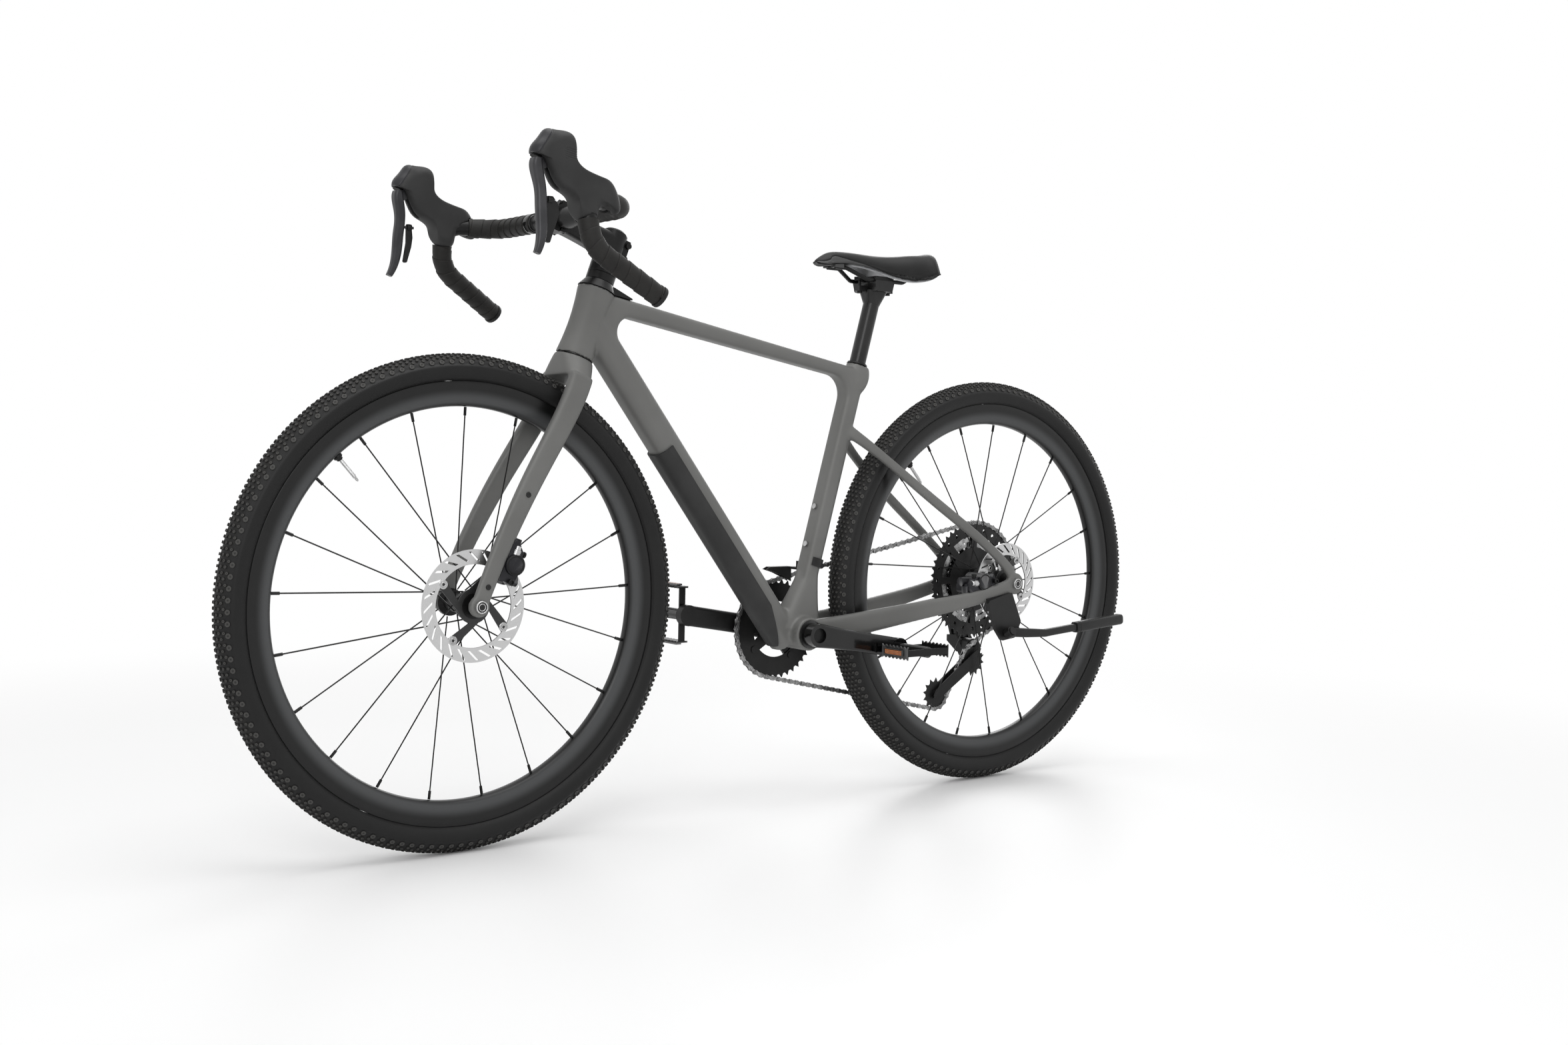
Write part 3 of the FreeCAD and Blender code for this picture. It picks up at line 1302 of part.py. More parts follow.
def saddle_rows():
    """Section by section: x, half width, height of the top, of the edge and of the cushion's underside."""
    for share, wide, high, low, thick in SADDLE:
        top, edge = rail_level + s.saddle_height * high, rail_level + s.saddle_height * low
        yield nose_x - s.saddle_length * share, s.saddle_width / 2 * wide, top, edge, top - thick


def arch(x, half, edge, crest):
    """An arc across the saddle."""
    return Part.Arc(Vector(x, -half, edge), Vector(x, 0, crest), Vector(x, half, edge)).toShape()


def arched_loft(rows):
    """A loft of bent strips: (x, outer half, outer edge, outer crest, inner half, inner edge, inner crest)."""
    wires = []
    for x, half, edge, crest, inner_half, inner_edge, inner_crest in rows:
        over = arch(x, half, edge, crest)
        under = arch(x, inner_half, inner_edge, inner_crest)
        joins = [Part.LineSegment(Vector(x, side * half, edge), Vector(x, side * inner_half, inner_edge)).toShape()
                 for side in (-1, 1)]
        wires.append(Part.Wire(Part.sortEdges([over, under] + joins)[0]))
    return Part.makeLoft(wires, True, False)


cover = arched_loft([(x, half, edge, top, half - 4, edge - 0.5, under)
                     for x, half, top, edge, under in saddle_rows()])
shell_room = arched_loft([(x, half + 30, edge + 10, top + 60, half - 5.5, edge - 1.5, under - s.cushion_gap)
                          for x, half, top, edge, under in saddle_rows()])
saddle_shell = arched_loft([(x, half - 5.5, edge - 1.5, under - s.cushion_gap, half - 8.5, edge - 2.5,
                             under - s.cushion_gap - s.shell_thickness)
                            for x, half, top, edge, under in saddle_rows()])
rail_front, rail_back = nose_x - s.rail_front, nose_x - s.rail_back
rail_run = rounded_path([
    Vector(rail_front, s.rail_front_spread, rail_level + s.rail_front_rise),
    Vector(rail_front - 24, s.rail_front_spread, rail_level + s.rail_front_rise),
    Vector(rail_front - 60, s.rail_spread, rail_level), Vector(post_head.x - 45, s.rail_spread, rail_level),
    Vector(rail_back + 24, s.rail_back_spread, rail_level + s.rail_back_rise),
    Vector(rail_back, s.rail_back_spread, rail_level + s.rail_back_rise),
], [12] * 4)
rail = tube(rail_run, s.rail_radius)


def rail_socket(x, left, z):
    """A block under the shell that holds a rail's end."""
    wall = s.rail_radius + 2.5
    return block(Vector(x - 12, left - wall, z - wall), Vector(x + 12, left + wall, rail_level + s.saddle_height))


sockets = [rail_socket(rail_front - 2, s.rail_front_spread, rail_level + s.rail_front_rise),
           rail_socket(rail_back + 2, s.rail_back_spread, rail_level + s.rail_back_rise)]
bores = [rod(Vector(x, left, z), FORWARD * way, s.rail_radius + s.fit, 40) for x, left, z, way in (
    (rail_front + s.fit, s.rail_front_spread, rail_level + s.rail_front_rise, -1),
    (rail_back - s.fit, s.rail_back_spread, rail_level + s.rail_back_rise, 1))]
both = [piece.cut(shell_room) for piece in sockets + [mirrored(piece) for piece in sockets]]
feature("saddle_cover", cover)
feature("saddle_shell", saddle_shell.multiFuse(both).cut(bores + [mirrored(piece) for piece in bores]))
feature("saddle_rails", Part.makeCompound([rail, mirrored(rail)]))


# Cranks and pedals
keep(turned("CrankSpindle", [
    ("0", "0 - spindle_end"), ("spindle_radius", "0 - spindle_end"), ("spindle_radius", "spindle_end"),
    ("0", "spindle_end"),
], bracket), "crank_spindle")


def crank_arm(side, angle):
    """A crank arm with its pedal axle: side is 1 on the left and -1 on the right."""
    way = polar(angle, 1)
    tip = bracket + way * s.crank_length
    out = LEFT * side
    outside = s.crank_outside - s.crank_thickness / 2
    arm = loft([
        (bracket + out * (s.crank_face + 13), way, s.crank_thickness + 2, s.crank_root_width, 6),
        (bracket + way * (s.crank_length * 0.24) + out * (outside - 4), way, s.crank_thickness, s.crank_root_width - 5, 6),
        (bracket + way * (s.crank_length * 0.7) + out * (outside - 1), way, s.crank_thickness - 1, s.crank_waist_width, 5),
        (tip + out * outside, way, s.crank_thickness - 1, s.crank_tip_width, 5),
    ])
    boss = rod(bracket + out * s.crank_face, out, s.crank_hub_radius, s.crank_thickness + 7)
    end = rod(tip + out * (s.crank_outside - s.crank_thickness), out, s.crank_tip_width / 2 + 0.5, s.crank_thickness)
    solid = arm.multiFuse([boss, end])
    if side < 0:
        solid = solid.multiFuse(spider(angle))
    bores_cut = [rod(bracket, out, s.spindle_radius + s.fit, 2 * s.crank_outside),
                 rod(tip, out, s.pedal_thread_radius + s.fit, 2 * s.crank_outside)]
    if side < 0:
        bores_cut += [rod(spot, out, s.chainring_bolt_radius + s.fit, s.crank_outside - s.crank_thickness - 1)
                      for spot in ring_bolt_places(angle)]
    return solid.cut(bores_cut), tip


def ring_bolt_places(angle):
    return [polar(angle + 45 + 90 * index, s.bolt_circle, bracket) for index in range(4)]


def spider(angle):
    """Four arms that carry the chainring."""
    inner = -(s.chain_line + s.chainring_thickness / 2 + s.fit)
    arms = []
    for spot in ring_bolt_places(angle):
        way = (spot - bracket).normalize()
        end = spot + LEFT * inner
        root = bracket + LEFT * inner
        across = way.cross(LEFT) * (s.spider_width / 2)
        face = Part.Face(Part.makePolygon([root + across * 1.6, end + across, end - across, root - across * 1.6,
                                           root + across * 1.6]))
        arms.append(face.extrude(LEFT * -s.spider_thickness))
        arms.append(rod(end, LEFT * -1, s.spider_width / 2, s.spider_thickness))
    return arms


def pedal_axle(name, tip, side):
    """Pedal axle screwed into the arm, with a collar outside."""
    return turned(name, [
        ("0", "crank_outside - crank_thickness"), ("pedal_thread_radius", "crank_outside - crank_thickness"),
        ("pedal_thread_radius", "crank_outside + fit"), ("pedal_barrel_radius", "crank_outside + fit"),
        ("pedal_barrel_radius", "crank_outside + pedal_offset - gap"),
        ("pedal_axle_radius", "crank_outside + pedal_offset - gap"),
        ("pedal_axle_radius", "crank_outside + pedal_offset + pedal_width - 3"),
        ("0", "crank_outside + pedal_offset + pedal_width - 3"),
    ], tip, LEFT * side)


def pedal(tip, side, lean):
    """Toothed cage round a barrel, with a reflector on either long face."""
    near = s.crank_outside + s.pedal_offset
    far = near + s.pedal_width
    length, tall, wall = s.pedal_length / 2, s.pedal_height / 2, s.pedal_wall
    cage = block(Vector(-length, near, -tall), Vector(length, far, tall))
    room = block(Vector(wall - length, near + wall, -tall), Vector(length - wall, far - wall, tall))
    low_ends = [block(Vector(-length + wall, near - 1, tall * sign), Vector(length - wall, far + 1, tall * sign / 2))
                if sign < 0 else
                block(Vector(-length + wall, near - 1, tall / 2), Vector(length - wall, far + 1, tall))
                for sign in (-1, 1)]
    pitch = s.pedal_width / s.pedal_tooth_count
    notches = []
    for index in range(int(s.pedal_tooth_count)):
        middle = near + pitch * (index + 0.5)
        for sign in (-1, 1):
            corners = [Vector(-2 * length, middle - pitch / 2, sign * tall),
                       Vector(-2 * length, middle, sign * (tall - s.pedal_tooth)),
                       Vector(-2 * length, middle + pitch / 2, sign * tall)]
            notches.append(Part.Face(Part.makePolygon(corners + corners[:1])).extrude(FORWARD * 4 * length))
    barrel = rod(LEFT * near, LEFT, s.pedal_barrel_radius, s.pedal_width)
    bore = rod(ORIGIN, LEFT, s.pedal_axle_radius + s.fit, far - 2)
    solid = cage.cut([room] + low_ends + notches).fuse(barrel).cut(bore)
    reflectors = []
    for sign in (-1, 1):
        low = Vector(sign * (length + s.fit), near + 0.2 * s.pedal_width, -s.pedal_height / 5)
        high = Vector(sign * (length + wall), far - 0.2 * s.pedal_width, s.pedal_height / 5)
        reflectors.append(block(Vector(min(low.x, high.x), low.y, low.z), Vector(max(low.x, high.x), high.y, high.z)))
    whole = Part.makeCompound([solid] + reflectors)
    if side < 0:
        whole = mirrored(whole)
    whole.rotate(ORIGIN, LEFT, lean)
    whole.translate(tip)
    return whole


for label, side, angle, lean in (("left", 1, 180 + s.crank_angle, 0), ("right", -1, s.crank_angle, 90)):
    solid, tip = crank_arm(side, angle)
    arm_piece = doc.addObject("Part::Feature", f"{label}CrankArm")
    arm_piece.Shape = solid
    group(f"crank_arm_{label}", [arm_piece, pedal_axle(f"{label}PedalAxle", tip, side)])
    feature(f"pedal_{label}", pedal(tip, side, lean))

group("chainring_bolts", [turned(f"RingBolt{index}", [
    ("0", "chain_line - chainring_thickness / 2 - 1.5"),
    ("chainring_bolt_radius + 1.5", "chain_line - chainring_thickness / 2 - 1.5"),
    ("chainring_bolt_radius + 1.5", "chain_line - chainring_thickness / 2 - fit"),
    ("chainring_bolt_radius", "chain_line - chainring_thickness / 2 - fit"),
    ("chainring_bolt_radius", "chain_line + chainring_thickness / 2 + spider_thickness"),
    ("0", "chain_line + chainring_thickness / 2 + spider_thickness"),
], spot, LEFT * -1) for index, spot in enumerate(ring_bolt_places(s.crank_angle))])


# Chain and sprockets
TEETH = (45, 39, 33, 28, 24, 21, 18, 16, 14, 12, 10)
cassette_start = s.rear_spacing / 2 - s.cassette_inset
guide_centre = rear_centre - Vector(s.guide_back, 0, s.guide_below)


def pitch_radius(teeth):
    return s.chain_pitch / (2 * math.sin(math.pi / teeth))


def chain_route(cage_angle):
    """The chain's closed path as arcs round the wheels and straight runs between them, measured in links."""
    tension = polar(cage_angle, s.cage_length, guide_centre)
    wheels = [(bracket, s.chainring_teeth, 1, -s.chain_line), (rear_centre, s.largest_teeth, 1, -cassette_start),
              (guide_centre, s.pulley_teeth, -1, -cassette_start), (tension, s.pulley_teeth, 1, -cassette_start)]
    runs = []
    for index, (centre, teeth, sense, y) in enumerate(wheels):
        other, other_teeth, other_sense, other_y = wheels[(index + 1) % len(wheels)]
        span = other - centre
        reach = other_sense * pitch_radius(other_teeth) - sense * pitch_radius(teeth)
        angle = math.atan2(span.z, span.x) - math.asin(reach / math.hypot(span.x, span.z))
        side = Vector(-math.sin(angle), 0, math.cos(angle))
        start = centre - side * (sense * pitch_radius(teeth)) + LEFT * y
        end = other - side * (other_sense * pitch_radius(other_teeth)) + LEFT * other_y
        runs.append((start, end, angle))
    route = []
    for index, (centre, teeth, sense, y) in enumerate(wheels):
        start, end, angle = runs[index]
        entry = runs[index - 1][2]
        swept = (sense * (angle - entry)) % (2 * math.pi)
        route.append(("arc", swept * teeth / (2 * math.pi), centre, teeth, sense, entry, y))
        flat = Vector(end.x - start.x, 0, end.z - start.z).Length
        route.append(("run", flat / s.chain_pitch, start, end))
    return tension, route


def chain_total(cage_angle):
    return sum(piece[1] for piece in chain_route(cage_angle)[1])


def settled_cage():
    """The cage angle nearest its drawn one at which the chain closes on an even number of links."""
    low, high = s.cage_angle - 15, s.cage_angle + 15
    target = 2 * round(chain_total(s.cage_angle) / 2)
    rising = chain_total(high) > chain_total(low)
    for _ in range(60):
        middle = (low + high) / 2
        if (chain_total(middle) < target) == rising:
            low = middle
        else:
            high = middle
    return (low + high) / 2, target


cage_rest, link_count = settled_cage()
tension_centre, route = chain_route(cage_rest)


def pin_place(along):
    """Where the chain's pin lies at a distance in links, and the wheel it lies on."""
    for wheel_index, piece in enumerate(route):
        if along <= piece[1] + 1e-9:
            break
        along -= piece[1]
    share = along / piece[1]
    if piece[0] == "run":
        start, end = piece[2:]
        spot = start + (end - start) * share
        ease = share * share * (3 - 2 * share)
        return Vector(spot.x, start.y + (end.y - start.y) * ease, spot.z), None
    _, _, centre, teeth, sense, entry, y = piece
    angle = entry + sense * along * 2 * math.pi / teeth
    radius = pitch_radius(teeth)
    spot = centre - Vector(-math.sin(angle), 0, math.cos(angle)) * (sense * radius)
    return Vector(spot.x, y, spot.z), wheel_index // 2


pins = [pin_place(index) for index in range(link_count)]


def tooth_phase(wheel_index, centre):
    """The angle of a valley that a pin lies in."""
    spot = next(place for place, on in pins if on == wheel_index)
    return math.atan2(spot.z - centre.z, spot.x - centre.x)


def toothed(teeth, centre, y, thickness, phase=0.0, fine=True):
    """A toothed disc; fine ones have a flat valley for the roller."""
    radius = pitch_radius(teeth)
    deep = radius - s.roller_radius - s.valley_clearance
    half = s.valley_flat / radius
    points = []
    for index in range(int(teeth)):
        middle = phase + 2 * math.pi * index / teeth
        for offset, at in ((-half, deep), (half, deep)) if fine else ((0, deep),):
            points.append(polar(math.degrees(middle + offset), at, centre, y - thickness / 2))
        points.append(polar(math.degrees(middle + math.pi / teeth), radius + s.tooth_height, centre, y - thickness / 2))
    return Part.Face(Part.makePolygon(points + points[:1])).extrude(LEFT * thickness)


def bore_prism(centre, y, thickness):
    """A twelve-sided hole that clears the freehub."""
    reach = (s.freehub_radius + s.fit) / math.cos(math.pi / 12)
    points = [polar(30 * index, reach, centre, y - thickness) for index in range(12)]
    return Part.Face(Part.makePolygon(points + points[:1])).extrude(LEFT * 2 * thickness)


def windows(count, inner, outer, y, thickness):
    """Openings between the arms of a large sprocket."""
    prisms = []
    for index in range(count):
        start = 360 / count * index
        corners = [(0.14, inner), (0.5, inner), (0.86, inner), (0.9, outer), (0.5, outer), (0.1, outer)]
        points = [polar(start + 360 / count * share, radius, rear_centre, y - thickness) for share, radius in corners]
        prisms.append(Part.Face(Part.makePolygon(points + points[:1])).extrude(LEFT * 2 * thickness))
    return prisms


def sprockets():
    """Twelve sprockets; the three largest are open between their arms."""
    solids = []
    for index, teeth in enumerate((s.largest_teeth,) + TEETH):
        y = -cassette_start - s.sprocket_pitch * index
        phase = tooth_phase(1, rear_centre) if index == 0 else 0.0
        disc = toothed(teeth, rear_centre, y, s.sprocket_thickness, phase, index == 0)
        cuts = [bore_prism(rear_centre, y, s.sprocket_thickness)]
        edge = pitch_radius(teeth) - s.roller_radius
        if index < 3:
            cuts += windows(8, 0.58 * edge, 0.8 * edge, y, s.sprocket_thickness)
        if index < 4:
            cuts += [rod(polar(15 * turn, 0.9 * edge, rear_centre, y - s.sprocket_thickness), LEFT, 0.034 * edge,
                         2 * s.sprocket_thickness) for turn in range(24)]
        solids.append(disc.cut(cuts))
    return Part.makeCompound(solids)


def chainring():
    disc = toothed(s.chainring_teeth, bracket, -s.chain_line, s.chainring_thickness, tooth_phase(0, bracket))
    inside = rod(bracket - LEFT * 2 * s.chain_line, LEFT, s.bolt_circle - s.chainring_bolt_radius - 4, 2 * s.chain_line)
    holes = [rod(spot, LEFT * -1, s.chainring_bolt_radius + s.fit, 2 * s.chain_line)
             for spot in ring_bolt_places(s.crank_angle)]
    return disc.cut([inside] + holes)


feature("sprockets", sprockets())
feature("chainring", chainring())
keep(turned("Freehub", [
    ("freehub_axle_radius + fit", "rear_flange_right + flange_width + gap"),
    ("freehub_radius", "rear_flange_right + flange_width + gap"),
    ("freehub_radius", "rear_spacing / 2 - cassette_inset + 11 * sprocket_pitch + sprocket_thickness"),
    ("freehub_radius + 2", "rear_spacing / 2 - cassette_inset + 11 * sprocket_pitch + sprocket_thickness"),
    ("freehub_radius + 2", "rear_spacing / 2 - 3"), ("freehub_axle_radius + fit", "rear_spacing / 2 - 3"),
], rear_centre, LEFT * -1), "freehub")


def prism(start, end, outline_points, low, high):
    """A flat bar between two pins: outline is along and up, low and high are its sides across the chain."""
    run = (end - start).normalize()
    across = (LEFT - run * LEFT.dot(run)).normalize()
    rise = run.cross(across)
    points = [start + run * x + rise * z + across * low for x, z in outline_points]
    return Part.Face(Part.makePolygon(points + points[:1])).extrude(across * (high - low))


def chain():
    half = s.plate_height / 2
    inner = s.chain_inside / 2
    outer = inner + s.plate_thickness + s.plate_gap
    link_shape = [(-half, 0), (-half / 3, half), (s.chain_pitch + half / 3, half), (s.chain_pitch + half, 0),
                  (s.chain_pitch + half / 3, -half), (-half / 3, -half)]
    roller = [(s.roller_radius * math.cos(math.radians(60 * k)), s.roller_radius * math.sin(math.radians(60 * k)))
              for k in range(6)]
    solids = []
    for index in range(link_count):
        start, end = pins[index][0], pins[(index + 1) % link_count][0]
        base = outer if index % 2 else inner
        plates = [prism(start, end, link_shape, low, high)
                  for low, high in ((base, base + s.plate_thickness), (-base - s.plate_thickness, -base))]
        if index % 2:
            solids += plates
        else:
            rollers = [prism(start, end, [(x + along, z) for x, z in roller], -inner, inner)
                       for along in (0, (end - start).Length)]
            solids.append(plates[0].multiFuse(plates[1:] + rollers))
    return Part.makeCompound(solids)


feature("chain", chain())


# Rear derailleur
def cross_plate(points, x, thickness):
    """A plate across the bicycle, from (y, z) corners."""
    corners = [Vector(x - thickness / 2, y, z) for y, z in points]
    return Part.Face(Part.makePolygon(corners + corners[:1])).extrude(FORWARD * thickness)


hanger_out = s.rear_spacing / 2 + s.dropout_width + s.gap
hanger_eye = rear_centre - Vector(s.hanger_back, 0, s.hanger_drop)
base_in = hanger_out + s.hanger_thickness + s.gap
link_swing = Vector(0, s.link_reach, -s.link_drop)
upper_pivots = [hanger_eye + Vector(-2, -base_in - 10, -22), hanger_eye + Vector(-2, -base_in + 3, -20)]
lower_pivots = [spot + link_swing for spot in upper_pivots]
cage_pivot = guide_centre + Vector(-s.cage_pivot_back, 0, s.cage_pivot_up)
lug_reach = s.link_width / 2 + s.link_thickness / 2 + 1


def hanger():
    """Derailleur hanger outside the right dropout."""
    disc = rod(rear_centre - LEFT * hanger_out, LEFT * -1, s.knuckle_radius + 1, s.hanger_thickness)
    foot = rod(hanger_eye - LEFT * hanger_out, LEFT * -1, s.knuckle_radius - 2, s.hanger_thickness)
    way = (hanger_eye - rear_centre).normalize()
    across = way.cross(LEFT) * (s.knuckle_radius - 3)
    corners = [(spot + shift - LEFT * hanger_out) for spot, shift in (
        (rear_centre, across), (hanger_eye, across), (hanger_eye, across * -1), (rear_centre, across * -1))]
    web = Part.Face(Part.makePolygon(corners + corners[:1])).extrude(LEFT * -s.hanger_thickness)
    bolt_way = rod(hanger_eye, LEFT * -1, s.pulley_bolt_radius + 1 + s.fit, 2 * hanger_out)
    return disc.multiFuse([foot, web]).cut(bolt_way)


def lugs(points, x):
    return [cross_plate(points, x + side * lug_reach, s.link_thickness) for side in (-1, 1)]


def pivot_pins(spots):
    return [rod(spot - FORWARD * lug_reach, FORWARD, s.pulley_bolt_radius, 2 * lug_reach) for spot in spots]


def derailleur_base():
    """Knuckle on the hanger with two lugs that hold the links' upper pins."""
    knuckle = rod(hanger_eye - LEFT * base_in, LEFT * -1, s.knuckle_radius, 15)
    stud = rod(hanger_eye - LEFT * hanger_out, LEFT * -1, s.pulley_bolt_radius + 1, s.hanger_thickness + 10)
    outer, inner = upper_pivots
    top = hanger_eye.z - 8
    ear = [(outer.y - 6, outer.z - 5), (inner.y + 6, inner.z - 5), (inner.y + 6, inner.z + 5),
           (-base_in, top), (-base_in - 15, top), (outer.y - 6, outer.z + 5)]
    bridge = block(Vector(outer.x - lug_reach - s.link_thickness / 2, -base_in - 15, top - 6),
                   Vector(outer.x + lug_reach + s.link_thickness / 2, -base_in, top))
    return knuckle.multiFuse([stud, bridge] + lugs(ear, outer.x) + pivot_pins(upper_pivots))


def link(top, bottom):
    """A parallelogram link with an eye at either end."""
    half = s.link_width / 2
    way = (bottom - top).normalize()
    across = way.cross(FORWARD) * (s.link_thickness / 2)
    corners = [spot - FORWARD * half for spot in (top + across, bottom + across, bottom - across, top - across)]
    web = Part.Face(Part.makePolygon(corners + corners[:1])).extrude(FORWARD * s.link_width)
    eyes = [rod(spot - FORWARD * half, FORWARD, s.link_thickness, s.link_width) for spot in (top, bottom)]
    rooms = [rod(spot - FORWARD * 2 * half, FORWARD, s.pulley_bolt_radius + s.fit, 4 * half) for spot in (top, bottom)]
    return web.multiFuse(eyes).cut(rooms)


body_in = cassette_start + s.cage_inside / 2 + s.cage_plate + 1


def derailleur_body():
    """Clutch housing on the cage pivot, hung from the links' lower pins."""
    outer, inner = lower_pivots
    housing = rod(cage_pivot - LEFT * body_in, LEFT * -1, s.clutch_radius, s.clutch_length)
    housing = housing.makeChamfer(2.5, [edge for edge in housing.Edges if edge.Closed and edge.CenterOfMass.y < -body_in - 1])
    ear = [(outer.y - 6, outer.z - 6), (outer.y - 6, outer.z + 5), (inner.y + 5, inner.z + 5),
           (-body_in - s.clutch_length + 12, cage_pivot.z + 6), (-body_in - s.clutch_length + 12, cage_pivot.z - 6),
           (-body_in - s.clutch_length, cage_pivot.z - 6)]
    pin_room = rod(cage_pivot, LEFT * -1, s.pulley_bolt_radius + 1 + s.fit, body_in + s.clutch_length / 2)
    return housing.multiFuse(lugs(ear, outer.x) + pivot_pins(lower_pivots)).cut(pin_room)


def cage_plate(y):
    """One long plate past both pulleys."""
    way = (tension_centre - guide_centre).normalize()
    across = way.cross(LEFT)
    near = guide_centre - way * (s.cage_width / 2)
    far = tension_centre + way * (s.cage_width / 2)
    half = s.cage_width / 2
    points = [near + across * half * 0.5, near + way * half + across * half * 1.4, far - way * half + across * half,
              far + across * half * 0.4, far - across * half * 0.4, far - way * half - across * half,
              near + way * half * 2 - across * half, near + way * half - across * half, near - across * half * 0.5]
    points.insert(1, cage_pivot + Vector(-5, 0, 7))
    points.insert(2, cage_pivot + Vector(-8, 0, -6))
    ring_points = [Vector(point.x, y - s.cage_plate / 2, point.z) for point in points]
    middle = Vector(sum(p.x for p in ring_points), 0, sum(p.z for p in ring_points)) * (1 / len(ring_points))
    ring_points.sort(key=lambda p: math.atan2(p.z - middle.z, p.x - middle.x))
    return Part.Face(Part.makePolygon(ring_points + ring_points[:1])).extrude(LEFT * s.cage_plate)


def derailleur_cage():
    """Two plates joined by the pulley bolts, on a pin that turns in the clutch housing."""
    side = s.cage_inside / 2 + s.cage_plate / 2
    plates = [cage_plate(-cassette_start + sign * side) for sign in (-1, 1)]
    low = -cassette_start - side
    bolts = [rod(spot + LEFT * low, LEFT, s.pulley_bolt_radius, 2 * side) for spot in (guide_centre, tension_centre)]
    pin = rod(cage_pivot + LEFT * low, LEFT * -1, s.pulley_bolt_radius + 1, s.clutch_length / 2)
    return plates[0].multiFuse([plates[1], pin] + bolts)


def pulley(centre, wheel_index):
    disc = toothed(s.pulley_teeth, centre, -cassette_start, s.chainring_thickness, tooth_phase(wheel_index, centre))
    boss = rod(centre - LEFT * (cassette_start + s.cage_inside / 2 - 1), LEFT, 2.6 * s.pulley_bolt_radius, s.cage_inside - 2)
    room = rod(centre - LEFT * 2 * cassette_start, LEFT, s.pulley_bolt_radius + s.fit, 2 * cassette_start)
    return disc.fuse(boss).cut(room)


feature("derailleur_hanger", hanger())
feature("derailleur_base", derailleur_base())
feature("derailleur_outer_link", link(upper_pivots[0], lower_pivots[0]))
feature("derailleur_inner_link", link(upper_pivots[1], lower_pivots[1]))
feature("derailleur_body", derailleur_body())
feature("derailleur_cage", derailleur_cage())
feature("guide_pulley", pulley(guide_centre, 2))
feature("tension_pulley", pulley(tension_centre, 3))


# Chain guide and bottle bolts
def chain_guide():
    """A band round the seat tube with an arm and two plates over the chainring."""
    base = seat(s.guide_height)
    band = rod(base, seat_up, s.seat_tube_radius + s.gap + 3, s.guide_band)
    top = bracket.z + pitch_radius(s.chainring_teeth) + 2.3 * s.plate_height
    fore, aft = bracket.x + 18, bracket.x - 26
    outer, inner = s.chain_line + s.guide_room, s.chain_line - s.guide_room
    bridge = block(Vector(aft, -outer - 1, top), Vector(fore, -inner + 1, top + 5))
    side_view = [(aft, top - 20), (aft, top + 5), (fore, top + 5), (fore + 8, top + 1), (fore - 12, top - 5),
                 (aft + 16, top - 12)]
    plates = [slab(side_view, -y, 2) for y in (outer, inner)]
    arm = block(Vector(base.x - 9, -inner + 1, top + 1), Vector(base.x + 9, 0, top + 5))
    hold = block(Vector(base.x - 9, -s.seat_tube_radius - 8, top + 1),
                 Vector(base.x + 9, -s.seat_tube_radius + 6, base.z + s.guide_band / 2))
    room = rod(seat(0), seat_up, s.seat_tube_radius + s.gap / 2, s.seat_mast_height / 2)
    corners = [seat(0, -1), seat(0, 60), seat(s.seat_mast_height, 60), seat(s.seat_mast_height, -1)]
    mouth = slab([(corner.x, corner.z) for corner in corners], 0, s.web_width + 2 * s.gap)
    return band.multiFuse([bridge, arm, hold] + plates).cut([room, mouth])


feature("chain_guide", chain_guide())
group("frame_bolts", [bolt(f"BottleBolt{index}", seat(s.bottle_height + index * s.bottle_spacing, s.seat_tube_radius),
                           seat_fore, "boss_depth - 1") for index in range(2)])


def moved(shape, shift):
    copy = shape.copy()
    copy.translate(shift)
    return copy


# Brakes
def caliper(body, centre, rotor_radius, wheel_centre, seat_shape, shift):
    """A caliper body seated on the frame or the fork, with its two pads."""
    slot = rod(wheel_centre + LEFT * (centre.y - s.caliper_throat / 2), LEFT, rotor_radius + 3, s.caliper_throat)
    shape = body.cut([slot] + [moved(seat_shape, shift * amount) for amount in (s.gap / 2, 0)])
    pads = []
    away = Vector(centre.x - wheel_centre.x, 0, centre.z - wheel_centre.z).normalize()
    pad_centre = wheel_centre + away * (rotor_radius - s.pad_height / 2) + LEFT * centre.y
    for sign in (-1, 1):
        near = s.rotor_thickness / 2 + s.pad_clearance
        offset = near if sign > 0 else -near - s.pad_thickness
        side = away.cross(LEFT) * (s.pad_length / 2)
        deep = away * (s.pad_height / 2)
        corners = [pad_centre + side + deep, pad_centre + side - deep, pad_centre - side - deep, pad_centre - side + deep]
        pads.append(Part.Face(Part.makePolygon(corners + corners[:1])).extrude(LEFT * s.pad_thickness))
        pads[-1].translate(LEFT * offset)
    return Part.makeCompound([largest(shape)] + pads)


def rounded_block(corners, low, high, corner):
    return slab(corners, (low + high) / 2, high - low, corner)


